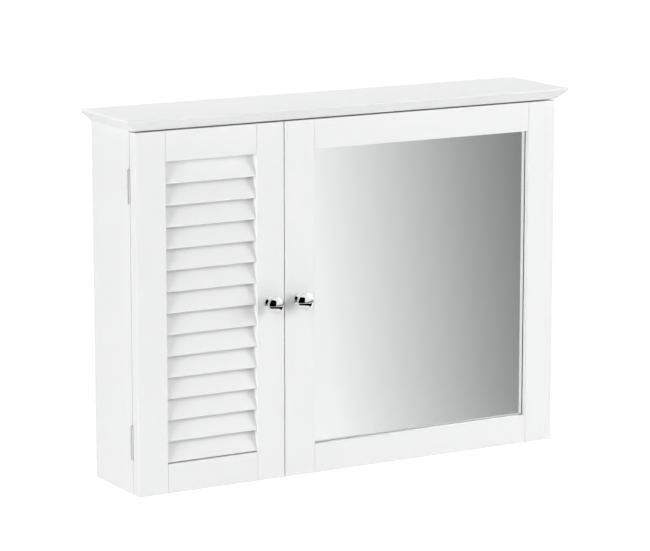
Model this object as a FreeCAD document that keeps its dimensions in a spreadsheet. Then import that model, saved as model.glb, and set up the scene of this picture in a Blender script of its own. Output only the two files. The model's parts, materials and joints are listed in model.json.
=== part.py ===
import FreeCAD, Part
import math
import os
import re
import Sketcher

# A wall cabinet with a louvred door and a mirror door, in millimetres.
# The wall is the plane y = 0, the doors face -Y, and +Z is up.
# The origin lies on the wall, halfway between the two hanging screws.

# Driving dimensions
SIZES = {
    # Carcass boards
    "carcass_width": 650,
    "carcass_depth": 111,
    "side_height": 485,
    "board_thickness": 15,
    "board_round": 1,
    "back_thickness": 3,
    "back_rabbet": 8,
    "back_room": 0.3,
    # Hanging rail and its wall screws
    "rail_height": 60,
    "rail_room": 0.3,
    "wall_screw_drop": 30,
    "wall_screw_spacing": 480,
    "wall_screw_hole": 6,
    # Crown-edged top board
    "top_thickness": 16,
    "top_edge_height": 3,
    "top_chamfer": 13,
    "top_side_overhang": 15,
    "top_front_overhang": 11,
    "top_edge_round": 1.5,
    # Shelves on pins
    "shelf_level": 236,
    "shelf_setback": 14,
    "shelf_room": 0.8,
    "pin_diameter": 5,
    "pin_flat": 1.5,
    "pin_depth": 6.5,
    "pin_reach": 8,
    "pin_inset": 28,
    "pin_row_pitch": 64,
    # Dowels and cam fasteners
    "dowel_diameter": 6,
    "dowel_in_face": 9,
    "dowel_in_end": 20,
    "dowel_inset": 22,
    "rail_dowel_spacing": 32,
    "cam_diameter": 15,
    "cam_skin": 2.5,
    "cam_setback": 24,
    "cam_recess": 0.3,
    "cam_slot_width": 1.6,
    "cam_slot_length": 8,
    "cam_slot_depth": 1.5,
    "bolt_thread": 5.8,
    "bolt_thread_depth": 9,
    "bolt_collar": 7,
    "bolt_collar_height": 2,
    "bolt_neck": 4.2,
    "bolt_head": 6.4,
    "bolt_head_height": 3.5,
    "joint_clearance": 0.1,
    "joint_room": 1,
    # Doors
    "door_thickness": 16,
    "door_gap": 1.4,
    "door_top_gap": 2,
    "louvre_door_width": 219,
    "hinge_stile_width": 43.5,
    "louvre_lock_stile_width": 41,
    "mirror_lock_stile_width": 45.5,
    "rail_width": 40,
    "frame_round": 1,
    "tenon_length": 12,
    "tenon_thickness": 6,
    "tenon_shoulder": 7,
    "tenon_width": 23,
    # Louvre slats
    "slat_count": 14,
    "slat_thickness": 3.5,
    "slat_overlap": 0.6,
    "slat_end_gap": 1,
    "slat_front_inset": 2,
    "slat_back_inset": 0.5,
    "slat_tenon": 6,
    # Mirror in its rabbet
    "mirror_recess": 7.5,
    "mirror_rabbet": 8,
    "mirror_thickness": 3,
    "mirror_room": 0.4,
    "backing_thickness": 3,
    # Butt hinges
    "hinge_height": 45,
    "hinge_inset": 71,
    "hinge_outset": 0.6,
    "barrel_diameter": 4,
    "barrel_room": 0.4,
    "barrel_end_room": 1.6,
    "knuckle_gap": 0.3,
    "leaf_thickness": 1,
    "leaf_clearance": 0.4,
    "leaf_margin": 1,
    "pivot_diameter": 2.4,
    "pivot_fit": 0.05,
    "pivot_stub": 0.8,
    # Small countersunk wood screws
    "screw_shank": 2.6,
    "screw_length": 12,
    "screw_point": 2.5,
    "screw_spread": 27,
    "screw_fit": 0.06,
    # Back panel screws
    "back_screw_shank": 2.2,
    "back_screw_cone": 1,
    "back_screw_length": 14,
    "back_screw_inset": 70,
    # Magnetic catches and strike plates
    "catch_width": 13,
    "catch_depth": 18,
    "catch_height": 48,
    "catch_ear_height": 10,
    "catch_ear_thickness": 4,
    "catch_wall": 2,
    "catch_round": 1.2,
    "catch_level": 372,
    "magnet_depth": 12,
    "pole_thickness": 1.4,
    "catch_fit": 0.1,
    "strike_gap": 0.2,
    "strike_width": 12,
    "strike_height": 42,
    # Knobs
    "knob_inset": 21.5,
    "knob_base_diameter": 17,
    "knob_base_height": 2,
    "knob_neck_diameter": 9,
    "knob_neck_length": 8,
    "knob_head_diameter": 23.5,
    "knob_flare": 4,
    "knob_rim_height": 3.5,
    "knob_dome": 6,
    "knob_thread": 4,
    "knob_thread_depth": 12,
    "knob_screw_head": 8,
    "knob_screw_head_height": 2,
    "knob_screw_room": 0.2,
}

# Sizes and places that follow from the driving dimensions
FORMULAS = {
    "base_level": "wall_screw_drop - side_height",
    "inner_width": "carcass_width - 2 * board_thickness",
    "board_depth": "carcass_depth - back_thickness",
    "half_board": "board_thickness / 2",
    "inner_left": "-inner_width / 2",
    "inner_right": "inner_width / 2",
    "top_width": "carcass_width + 2 * top_side_overhang",
    "top_reach": "hinge_gap + door_thickness + top_front_overhang",
    "top_depth": "carcass_depth + top_reach",
    "divider_centre": "-carcass_width / 2 + louvre_door_width + door_gap / 2",
    "divider_left": "divider_centre - half_board",
    "divider_right": "divider_centre + half_board",
    "dowel_front": "dowel_inset",
    "dowel_back": "board_depth - dowel_inset",
    "dowel_hole": "dowel_diameter + 2 * joint_clearance",
    "face_hole_depth": "dowel_in_face + joint_room",
    "end_hole_depth": "dowel_in_end + joint_room",
    "rail_dowel_low": "rail_height / 2 - rail_dowel_spacing / 2",
    "rail_dowel_high": "rail_height / 2 + rail_dowel_spacing / 2",
    "bolt_line": "board_depth / 2",
    "bolt_hole": "bolt_thread + 2 * joint_clearance",
    "bolt_bore": "bolt_collar + 2 * joint_clearance",
    "cam_hole": "cam_diameter + 2 * joint_clearance",
    "cam_hole_depth": "board_thickness - cam_skin",
    "cam_height": "cam_hole_depth - cam_recess - joint_clearance",
    "cam_bore": "bolt_head + 8 * joint_clearance",
    "pin_hole": "pin_diameter + 2 * joint_clearance",
    "pin_back": "board_depth - pin_inset",
    "shelf_depth": "board_depth - shelf_setback - shelf_room",
    "hinge_gap": "2 * leaf_thickness + leaf_clearance",
    "hinge_line": "-carcass_depth - hinge_gap / 2",
    "hinge_left": "-carcass_width / 2 - hinge_outset",
    "hinge_right": "carcass_width / 2 + hinge_outset",
    "hinge_low": "hinge_inset",
    "hinge_high": "door_height - hinge_inset",
    "leaf_reach": "hinge_outset + board_thickness - leaf_margin",
    "leaf_screw_line": "hinge_outset + half_board",
    "barrel_relief": "barrel_diameter + 2 * barrel_room",
    "relief_height": "hinge_height + 2 * barrel_end_room",
    "knuckle_height": "hinge_height / 5",
    "screw_head": "screw_shank + 2 * leaf_thickness",
    "screw_hole": "screw_shank + 2 * screw_fit",
    "screw_hole_depth": "screw_length + joint_clearance",
    "back_screw_head": "back_screw_shank + 2 * back_screw_cone",
    "back_screw_hole": "back_screw_shank + 2 * screw_fit",
    "back_screw_middle": "side_height / 2",
    "back_screw_top": "side_height - back_screw_inset",
    "door_height": "side_height - door_top_gap",
    "door_back": "-carcass_depth - hinge_gap",
    "door_front": "door_back - door_thickness",
    "louvre_left": "-carcass_width / 2",
    "louvre_opening": "louvre_door_width - hinge_stile_width - louvre_lock_stile_width",
    "mirror_left": "louvre_left + louvre_door_width + door_gap",
    "mirror_door_width": "carcass_width - louvre_door_width - door_gap",
    "mirror_opening": "mirror_door_width - hinge_stile_width - mirror_lock_stile_width",
    "opening_height": "door_height - 2 * rail_width",
    "tenon_front": "(door_thickness - tenon_thickness) / 2",
    "mortise_depth": "tenon_length + joint_room",
    "mortise_thickness": "tenon_thickness + 2 * joint_clearance",
    "mortise_width": "tenon_width + 2 * joint_clearance",
    "mortise_front": "tenon_front - joint_clearance",
    "low_mortise": "tenon_shoulder - joint_clearance",
    "high_tenon": "rail_width - tenon_shoulder - tenon_width",
    "high_mortise": "door_height - tenon_shoulder - tenon_width - joint_clearance",
    "slat_pitch": "(opening_height - slat_overlap - 2 * slat_end_gap) / slat_count",
    "slat_radius": "slat_thickness / 2",
    "slat_rise": "slat_pitch + slat_overlap - slat_thickness",
    "slat_run": "door_thickness - slat_front_inset - slat_back_inset - slat_thickness",
    "slat_length": "louvre_opening + 2 * slat_tenon",
    "slat_slot": "slat_thickness + 2 * joint_clearance",
    "slat_slot_depth": "slat_tenon + joint_clearance",
    "slot_front": "slat_front_inset + slat_radius",
    "slot_low": "rail_width + slat_end_gap + slat_radius",
    "rabbet_depth": "door_thickness - mirror_recess",
    "rabbet_height": "opening_height + 2 * mirror_rabbet",
    "rabbet_width": "mirror_opening + 2 * mirror_rabbet",
    "rabbet_left": "mirror_left + mirror_lock_stile_width - mirror_rabbet",
    "rabbet_right": "rabbet_left + rabbet_width",
    "rabbet_bottom": "base_level + rail_width - mirror_rabbet",
    "rabbet_top": "rabbet_bottom + rabbet_height",
    "bead_front": "door_front + mirror_recess + mirror_thickness + backing_thickness",
    "bead_thickness": "rabbet_depth - mirror_thickness - backing_thickness",
    "knob_level": "door_height / 2",
    "knob_flare_start": "knob_base_height + knob_neck_length",
    "knob_rim_start": "knob_flare_start + knob_flare",
    "knob_rim_end": "knob_rim_start + knob_rim_height",
    "knob_tip": "knob_rim_end + knob_dome",
    "knob_screw_hole": "knob_thread + 2 * knob_screw_room",
    "catch_bottom": "base_level + catch_level",
    "catch_middle": "catch_level + catch_height / 2",
    "cavity_width": "catch_width - 2 * catch_wall",
    "cavity_height": "catch_height - 2 * catch_ear_height - 2 * catch_wall",
    "pole_reach": "hinge_gap / 2 - strike_gap",
    "catch_screw_low": "catch_ear_height / 2",
    "catch_screw_high": "catch_height - catch_ear_height / 2",
    "catch_screw_front": "catch_depth / 3",
    "catch_screw_rear": "catch_depth * 2 / 3",
    "strike_screw_spacing": "strike_height - 2 * screw_head",
}

# Directions in which a fastener's own Z axis can point
UP = FreeCAD.Rotation()
DOWN = FreeCAD.Rotation(FreeCAD.Vector(1, 0, 0), 180)
RIGHTWARD = FreeCAD.Rotation(FreeCAD.Vector(0, 1, 0), 90)
LEFTWARD = FreeCAD.Rotation(FreeCAD.Vector(0, 1, 0), -90)
FORWARD = FreeCAD.Rotation(FreeCAD.Vector(1, 0, 0), 90)
BACKWARD = FreeCAD.Rotation(FreeCAD.Vector(1, 0, 0), -90)
# Half turns that swap left and right, top and bottom, or front and back
TURNED_ABOUT_X = FreeCAD.Rotation(FreeCAD.Vector(1, 0, 0), 180)
TURNED_ABOUT_Y = FreeCAD.Rotation(FreeCAD.Vector(0, 1, 0), 180)
TURNED_ABOUT_Z = FreeCAD.Rotation(FreeCAD.Vector(0, 0, 1), 180)
# Z points left with -X up, and Z points right with X up
LEFTWARD_FLAT_UP = FreeCAD.Rotation(FreeCAD.Vector(1, 0, -1), 180)
RIGHTWARD_BORE_UP = FreeCAD.Rotation(FreeCAD.Vector(1, 0, 1), 180)

# Where the back panel's screws enter the side panels and the bottom panel
BACK_SCREW_LEVELS = ("back_screw_inset", "back_screw_middle", "back_screw_top")
BOTTOM_BACK_SCREWS = ("-wall_screw_spacing / 2", "0", "wall_screw_spacing / 2")
# The catches' ears have staggered holes, so that screws from both sides of the divider clear each other
RIGHT_CATCH_SCREWS = (("catch_screw_front", "catch_screw_low"), ("catch_screw_rear", "catch_screw_high"))
LEFT_CATCH_SCREWS = (("catch_screw_rear", "catch_screw_low"), ("catch_screw_front", "catch_screw_high"))

PLANES = {"X": "YZ_Plane", "Y": "XZ_Plane", "Z": "XY_Plane"}
NORMALS = {"X": 1, "Y": -1, "Z": 1}
TINY = 1e-4

doc = FreeCAD.newDocument("wall_cabinet")
sheet = doc.addObject("Spreadsheet::Sheet", "Sizes")
nodes = []


def fill_sheet():
    """Writes the driving dimensions into the sheet, one aliased cell each."""
    for row, (alias, size) in enumerate(SIZES.items(), start=1):
        sheet.set(f"A{row}", alias)
        sheet.set(f"B{row}", str(size))
        sheet.setAlias(f"B{row}", alias)
    doc.recompute()


def formula(text):
    """Expands named formulas and points the remaining names at the sheet."""
    def expand(match):
        name = match.group(0)
        if name in FORMULAS:
            return "(" + formula(FORMULAS[name]) + ")"
        return "Sizes." + name if name in SIZES else name
    return re.sub(r"[a-z_]+", expand, text)


def number(text):
    return float(sheet.evalExpression(formula(text)))


def bind(thing, prop, text):
    thing.setExpression(prop, formula(text))


def put(thing, x, y, z, rotation=UP):
    """Places an object, with its three coordinates tied to the sheet."""
    thing.Placement = FreeCAD.Placement(FreeCAD.Vector(), rotation)
    for axis, place in zip("xyz", (x, y, z)):
        bind(thing, "Placement.Base." + axis, place)


def keep(node):
    nodes.append(node)
    return node


# Sketches

def new_body(name, x="0", y="0", z="0", rotation=UP):
    body = doc.addObject("PartDesign::Body", name)
    body.Label = name
    put(body, x, y, z, rotation)
    return body


def origin_feature(body, role):
    return [feature for feature in body.Origin.OriginFeatures if feature.Role == role][0]


def new_sketch(body, axis, at):
    """A sketch square to one axis of the body, at a place along that axis."""
    sketch = body.newObject("Sketcher::SketchObject", body.Name + "_sketch")
    sketch.AttachmentSupport = [(origin_feature(body, PLANES[axis]), "")]
    sketch.MapMode = "FlatFace"
    bind(sketch, "AttachmentOffset.Base.z", f"{NORMALS[axis]} * ({at})")
    return sketch


def dimension(sketch, text, kind, *ends):
    index = sketch.addConstraint(Sketcher.Constraint(kind, *ends, number(text)))
    bind(sketch, f"Constraints[{index}]", text)


def fix_point(sketch, line, end, u, v):
    dimension(sketch, u, "DistanceX", -1, 1, line, end)
    dimension(sketch, v, "DistanceY", -1, 1, line, end)


def point(u, v):
    return FreeCAD.Vector(number(u), number(v), 0)


def draw_outline(sketch, points):
    """A closed outline of straight lines, every corner tied to the sheet."""
    lines = []
    for start, end in zip(points, points[1:] + points[:1]):
        lines.append(sketch.addGeometry(Part.LineSegment(point(*start), point(*end))))
    for line, following, corner in zip(lines, lines[1:] + lines[:1], points):
        sketch.addConstraint(Sketcher.Constraint("Coincident", line, 2, following, 1))
        fix_point(sketch, line, 1, *corner)


def draw_rectangle(sketch, u, v, width, height):
    right = f"{u} + {width}"
    top = f"{v} + {height}"
    draw_outline(sketch, [(u, v), (right, v), (right, top), (u, top)])


def draw_circle(sketch, u, v, diameter):
    circle = Part.Circle(point(u, v), FreeCAD.Vector(0, 0, 1), number(diameter) / 2)
    index = sketch.addGeometry(circle)
    fix_point(sketch, index, 3, u, v)
    dimension(sketch, diameter, "Diameter", index)


def draw_slot(sketch, low, high, width):
    """A slot with round ends about two centres, which may stand at a slant."""
    first = point(*low)
    second = point(*high)
    radius = number(width) / 2
    slant = math.atan2(second.y - first.y, second.x - first.x)
    across = FreeCAD.Vector(-math.sin(slant), math.cos(slant), 0) * radius
    quarter = math.pi / 2
    upper_end = Part.Circle(second, FreeCAD.Vector(0, 0, 1), radius)
    lower_end = Part.Circle(first, FreeCAD.Vector(0, 0, 1), radius)
    side = sketch.addGeometry(Part.LineSegment(first - across, second - across))
    upper = sketch.addGeometry(Part.ArcOfCircle(upper_end, slant - quarter, slant + quarter))
    other = sketch.addGeometry(Part.LineSegment(second + across, first + across))
    lower = sketch.addGeometry(Part.ArcOfCircle(lower_end, slant + quarter, slant + 3 * quarter))
    ring = [side, upper, other, lower]
    for piece, following in zip(ring, ring[1:] + ring[:1]):
        sketch.addConstraint(Sketcher.Constraint("Tangent", piece, 2, following, 1))
    fix_point(sketch, lower, 3, *low)
    fix_point(sketch, upper, 3, *high)
    dimension(sketch, f"{width} / 2", "Radius", lower)


# Features

def extrude(kind, body, axis, at, towards, length, rectangles=(), circles=(), slots=(), outline=()):
    """Pads or pockets a sketch along one axis, towards plus or minus."""
    sketch = new_sketch(body, axis, at)
    for rectangle in rectangles:
        draw_rectangle(sketch, *rectangle)
    for circle in circles:
        draw_circle(sketch, *circle)
    for slot in slots:
        draw_slot(sketch, *slot)
    if outline:
        draw_outline(sketch, list(outline))
    feature = body.newObject("PartDesign::" + kind, body.Name + "_" + kind.lower())
    feature.Profile = sketch
    bind(feature, "Length", length)
    along_normal = towards * NORMALS[axis] > 0
    feature.Reversed = along_normal if kind == "Pocket" else not along_normal
    return feature


def pad(body, axis, at, towards, length, **shapes):
    return extrude("Pad", body, axis, at, towards, length, **shapes)


def cut(body, axis, at, towards, length, **shapes):
    """A pocket, refused where it removes nothing."""
    doc.recompute()
    before = body.Tip.Shape.Volume
    feature = extrude("Pocket", body, axis, at, towards, length, **shapes)
    doc.recompute()
    if feature.Shape.Volume > before - TINY:
        raise RuntimeError(f"{feature.Name} cuts nothing")
    return feature


def countersink(body, axis, at, towards, circles, hole, head, depth):
    """Straight holes through a plate, each with a cone for a screw head."""
    doc.recompute()
    sketch = new_sketch(body, axis, at)
    for circle in circles:
        draw_circle(sketch, *circle, hole)
    doc.recompute()
    feature = body.newObject("PartDesign::Hole", body.Name + "_hole")
    feature.Profile = sketch
    feature.Reversed = towards * NORMALS[axis] > 0
    feature.DepthType = "Dimension"
    feature.DrillPoint = "Flat"
    bind(feature, "Depth", depth)
    bind(feature, "Diameter", hole)
    feature.HoleCutType = "Countersink"
    feature.HoleCutCustomValues = True
    feature.HoleCutCountersinkAngle = 90
    bind(feature, "HoleCutDiameter", head)
    doc.recompute()


def round_edges(body, radius, wanted):
    """Rounds the edges whose bounding box answers to the test."""
    doc.recompute()
    base = body.Tip
    edges = enumerate(base.Shape.Edges, start=1)
    names = [f"Edge{index}" for index, edge in edges if wanted(edge.BoundBox)]
    fillet = body.newObject("PartDesign::Fillet", body.Name + "_fillet")
    fillet.Base = (base, names)
    bind(fillet, "Radius", radius)
    doc.recompute()


def at_front(box):
    return box.YMax < TINY


def turn(name, points):
    """A turned piece: a profile of radius and height, revolved about its Z axis."""
    body = new_body(name)
    sketch = new_sketch(body, "Y", "0")
    draw_outline(sketch, points)
    revolve(body, sketch)
    return body


def revolve(body, sketch):
    feature = body.newObject("PartDesign::Revolution", body.Name + "_revolution")
    feature.Profile = sketch
    feature.ReferenceAxis = (sketch, ["V_Axis"])
    feature.Angle = 360


def copies(name, master, places):
    """One node that holds a copy of a fastener at each place."""
    links = []
    for x, y, z, rotation in places:
        link = doc.addObject("App::Link", name + "_copy")
        link.LinkedObject = master
        put(link, x, y, z, rotation)
        links.append(link)
    compound = doc.addObject("Part::Compound", name)
    compound.Label = name
    compound.Links = links
    return keep(compound)


# Carcass

def make_side_panel(name, x, inner, outer, into):
    """A side panel; inner and outer are its faces, into points from inner to outer."""
    body = keep(new_body(name, x, "-carcass_depth", "base_level"))
    pad(body, "Z", "0", 1, "side_height", rectangles=[("0", "0", "board_thickness", "carcass_depth")])
    long_edge = number("side_height") / 2
    round_edges(body, "board_round", lambda box: at_front(box) and box.ZLength > long_edge)
    rabbet_start = f"({inner} - back_rabbet)" if into < 0 else inner
    rabbet = (rabbet_start, "board_depth", "back_rabbet", "back_thickness")
    cut(body, "Z", "0", 1, "side_height", rectangles=[rabbet])
    cut(body, "X", inner, into, "pin_depth", circles=pin_holes("shelf_level"))
    rail_line = "board_depth - half_board"
    rail_bottom = "side_height - rail_height"
    dowels = [
        ("dowel_front", "half_board", "dowel_hole"),
        ("dowel_back", "half_board", "dowel_hole"),
        (rail_line, f"{rail_bottom} + rail_dowel_low", "dowel_hole"),
        (rail_line, f"{rail_bottom} + rail_dowel_high", "dowel_hole"),
    ]
    cut(body, "X", inner, into, "face_hole_depth", circles=dowels)
    cut(body, "X", inner, into, "bolt_thread_depth", circles=[("bolt_line", "half_board", "bolt_hole")])
    top_dowels = [("half_board", "dowel_front", "dowel_hole"), ("half_board", "dowel_back", "dowel_hole")]
    cut(body, "Z", "side_height", -1, "end_hole_depth", circles=top_dowels)
    cut(body, "Z", "side_height", -1, "cam_setback", circles=[("half_board", "bolt_line", "bolt_bore")])
    cam = ("bolt_line", "side_height - cam_setback", "cam_hole")
    cut(body, "X", inner, into, "cam_hole_depth", circles=[cam])
    barrel_x = f"{outer} + {into} * hinge_outset"
    cut_hinge_seat(body, barrel_x, "-hinge_gap / 2", "0", 1, "half_board")
    back_screw_x = f"{inner} + {into} * back_rabbet / 2"
    back_screws = [(back_screw_x, level, "back_screw_hole") for level in BACK_SCREW_LEVELS]
    cut(body, "Y", "board_depth", -1, "back_screw_length - back_thickness", circles=back_screws)


def pin_holes(level):
    rows = [f"{level} + {step} * pin_row_pitch" for step in (-1, 0, 1)]
    return [(line, row, "pin_hole") for line in ("pin_inset", "pin_back") for row in rows]


def cut_hinge_seat(body, barrel_x, barrel_y, face, into, screw_x):
    """Clears room for the hinge barrels and drills for the leaves' screws."""
    for level in ("hinge_low", "hinge_high"):
        relief = (barrel_x, barrel_y, "barrel_relief")
        cut(body, "Z", f"{level} - relief_height / 2", 1, "relief_height", circles=[relief])
        holes = [(screw_x, f"{level} + {side} * screw_spread / 2", "screw_hole") for side in (-1, 1)]
        cut(body, "Y", face, into, "screw_hole_depth - leaf_thickness", circles=holes)


def make_bottom_panel():
    body = keep(new_body("bottom_panel", "inner_left", "-carcass_depth", "base_level"))
    pad(body, "Z", "0", 1, "board_thickness", rectangles=[("0", "0", "inner_width", "board_depth")])
    long_edge = number("inner_width") / 2
    round_edges(body, "board_round", lambda box: at_front(box) and box.XLength > long_edge)
    dowels = [("dowel_front", "half_board", "dowel_hole"), ("dowel_back", "half_board", "dowel_hole")]
    for end, into in (("0", 1), ("inner_width", -1)):
        cut(body, "X", end, into, "end_hole_depth", circles=dowels)
        cut(body, "X", end, into, "cam_setback", circles=[("bolt_line", "half_board", "bolt_bore")])
        cam = (f"{end} + {into} * cam_setback", "bolt_line", "cam_hole")
        cut(body, "Z", "0", 1, "cam_hole_depth", circles=[cam])
    divider_line = "divider_centre - inner_left"
    holes = [(divider_line, line, "dowel_hole") for line in ("dowel_front", "dowel_back")]
    cut(body, "Z", "board_thickness", -1, "face_hole_depth", circles=holes)
    screws = [(f"{x} - inner_left", "half_board", "back_screw_hole") for x in BOTTOM_BACK_SCREWS]
    cut(body, "Y", "board_depth", -1, "back_screw_length - back_thickness", circles=screws)


def make_top_board():
    """A board with a narrow edge above a wide chamfer; its back is flush with the wall."""
    body = keep(new_body("top_board", "-top_width / 2", "-top_depth", "wall_screw_drop"))
    edge_start = "top_thickness - top_edge_height"
    underside = new_sketch(body, "Z", "0")
    narrow = "top_width - 2 * top_chamfer"
    draw_rectangle(underside, "top_chamfer", "top_chamfer", narrow, "top_depth - top_chamfer")
    outline = new_sketch(body, "Z", edge_start)
    draw_rectangle(outline, "0", "0", "top_width", "top_depth")
    chamfered = body.newObject("PartDesign::AdditiveLoft", "top_board_chamfer")
    chamfered.Profile = underside
    chamfered.Sections = [outline]
    chamfered.Ruled = True
    pad(body, "Z", edge_start, 1, "top_edge_height", rectangles=[("0", "0", "top_width", "top_depth")])
    thickness = number("top_thickness")
    depth = number("top_depth")
    round_edges(body, "top_edge_round", lambda box: box.ZMin > thickness - TINY and box.YMin < depth - TINY)
    side_line = "top_side_overhang + half_board"
    lines = [side_line, f"top_width - ({side_line})"]
    divider_line = "divider_centre + top_width / 2"
    dowels = []
    for y in ("dowel_front", "dowel_back"):
        dowels += [(x, f"top_reach + {y}", "dowel_hole") for x in lines + [divider_line]]
    cut(body, "Z", "0", 1, "face_hole_depth", circles=dowels)
    bolts = [(x, "top_reach + bolt_line", "bolt_hole") for x in lines]
    cut(body, "Z", "0", 1, "bolt_thread_depth", circles=bolts)


def make_divider():
    """The upright behind the meeting doors, notched round the hanging rail."""
    floor = "base_level + board_thickness"
    body = keep(new_body("centre_divider", "divider_left", "-carcass_depth", floor))
    height = "side_height - board_thickness"
    pad(body, "Z", "0", 1, height, rectangles=[("0", "0", "board_thickness", "board_depth")])
    long_edge = number(height) / 2
    round_edges(body, "board_round", lambda box: at_front(box) and box.ZLength > long_edge)
    notch_depth = "board_thickness + rail_room"
    notch_height = "rail_height + rail_room"
    notch = (f"board_depth - ({notch_depth})", f"{height} - ({notch_height})", notch_depth, notch_height)
    cut(body, "X", "0", 1, "board_thickness", rectangles=[notch])
    dowels = [("half_board", "dowel_front", "dowel_hole"), ("half_board", "dowel_back", "dowel_hole")]
    cut(body, "Z", "0", 1, "end_hole_depth", circles=dowels)
    cut(body, "Z", height, -1, "end_hole_depth", circles=dowels)
    for face, into, screws in (("0", 1, LEFT_CATCH_SCREWS), ("board_thickness", -1, RIGHT_CATCH_SCREWS)):
        cut(body, "X", face, into, "pin_depth", circles=pin_holes("shelf_level - board_thickness"))
        holes = [(line, f"catch_level - board_thickness + {level}", "screw_hole") for line, level in screws]
        cut(body, "X", face, into, "screw_hole_depth - catch_ear_thickness", circles=holes)


def make_hanging_rail():
    front = "-back_thickness - board_thickness"
    body = keep(new_body("hanging_rail", "inner_left", front, "wall_screw_drop - rail_height"))
    pad(body, "Z", "0", 1, "rail_height", rectangles=[("0", "0", "inner_width", "board_thickness")])
    holes = wall_screw_holes("inner_width / 2", "rail_height - wall_screw_drop")
    cut(body, "Y", "0", 1, "board_thickness", circles=holes)
    dowels = [("half_board", level, "dowel_hole") for level in ("rail_dowel_low", "rail_dowel_high")]
    cut(body, "X", "0", 1, "end_hole_depth", circles=dowels)
    cut(body, "X", "inner_width", -1, "end_hole_depth", circles=dowels)


def wall_screw_holes(middle, level):
    return [(f"{middle} + {side} * wall_screw_spacing / 2", level, "wall_screw_hole") for side in (-1, 1)]


def make_back_panel():
    left = "inner_left - back_rabbet + back_room"
    width = "inner_width + 2 * back_rabbet - 2 * back_room"
    body = keep(new_body("back_panel", left, "-back_thickness", "base_level"))
    pad(body, "Z", "0", 1, "side_height", rectangles=[("0", "0", width, "back_thickness")])
    holes = wall_screw_holes(f"({width}) / 2", "side_height - wall_screw_drop")
    cut(body, "Y", "0", 1, "back_thickness", circles=holes)
    circles = [(f"{x} - ({left})", f"{z} - base_level") for x, z in back_screw_places()]
    head = "back_screw_head + 2 * screw_fit"
    countersink(body, "Y", "back_thickness", -1, circles, "back_screw_hole", head, "back_thickness")


def back_screw_places():
    sides = [("inner_left - back_rabbet / 2", level) for level in BACK_SCREW_LEVELS]
    sides += [("inner_right + back_rabbet / 2", level) for level in BACK_SCREW_LEVELS]
    bottom = [(x, "half_board") for x in BOTTOM_BACK_SCREWS]
    return [(x, f"base_level + {z}") for x, z in sides + bottom]


def make_shelf(name, left, right):
    """A shelf between two upright faces, resting on the flats of its pins."""
    floor = "base_level + shelf_level + pin_flat"
    length = f"({right}) - ({left}) - 2 * shelf_room"
    body = keep(new_body(name, f"{left} + shelf_room", "-carcass_depth + shelf_setback", floor))
    pad(body, "Z", "0", 1, "board_thickness", rectangles=[("0", "0", length, "shelf_depth")])
    long_edge = number(length) / 2
    round_edges(body, "board_round", lambda box: at_front(box) and box.XLength > long_edge)


def make_pins(name, left, right):
    """Four shelf pins, round in their holes and flat under the shelf."""
    pin = new_body(name + "_pin")
    radius = "pin_diameter / 2"
    pad(pin, "Z", "-pin_depth", 1, "pin_depth + pin_reach", circles=[("0", "0", "pin_diameter")])
    flat = (f"-{radius}", f"-{radius}", f"{radius} - pin_flat", "pin_diameter")
    cut(pin, "Z", "0", 1, "pin_reach", rectangles=[flat])
    level = "base_level + shelf_level"
    lines = ("-carcass_depth + pin_inset", "-carcass_depth + pin_back")
    places = [(left, line, level, RIGHTWARD) for line in lines]
    places += [(right, line, level, LEFTWARD_FLAT_UP) for line in lines]
    copies(name, pin, places)


# Carcass fasteners

def make_dowels():
    dowel = new_body("dowel")
    length = "dowel_in_face + dowel_in_end"
    pad(dowel, "Z", "-dowel_in_face", 1, length, circles=[("0", "0", "dowel_diameter")])
    lines = ("-carcass_depth + dowel_front", "-carcass_depth + dowel_back")
    middle = "base_level + half_board"
    floor = "base_level + board_thickness"
    rail_line = "-back_thickness - half_board"
    rail_foot = "wall_screw_drop - rail_height"
    rail_levels = [f"{rail_foot} + {level}" for level in ("rail_dowel_low", "rail_dowel_high")]
    places = [("inner_left", line, middle, RIGHTWARD) for line in lines]
    places += [("inner_right", line, middle, LEFTWARD) for line in lines]
    places += [("inner_left", rail_line, level, RIGHTWARD) for level in rail_levels]
    places += [("inner_right", rail_line, level, LEFTWARD) for level in rail_levels]
    uprights = ("inner_left - half_board", "divider_centre", "inner_right + half_board")
    places += [(x, line, "wall_screw_drop", DOWN) for x in uprights for line in lines]
    places += [("divider_centre", line, floor, UP) for line in lines]
    copies("dowels", dowel, places)


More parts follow.
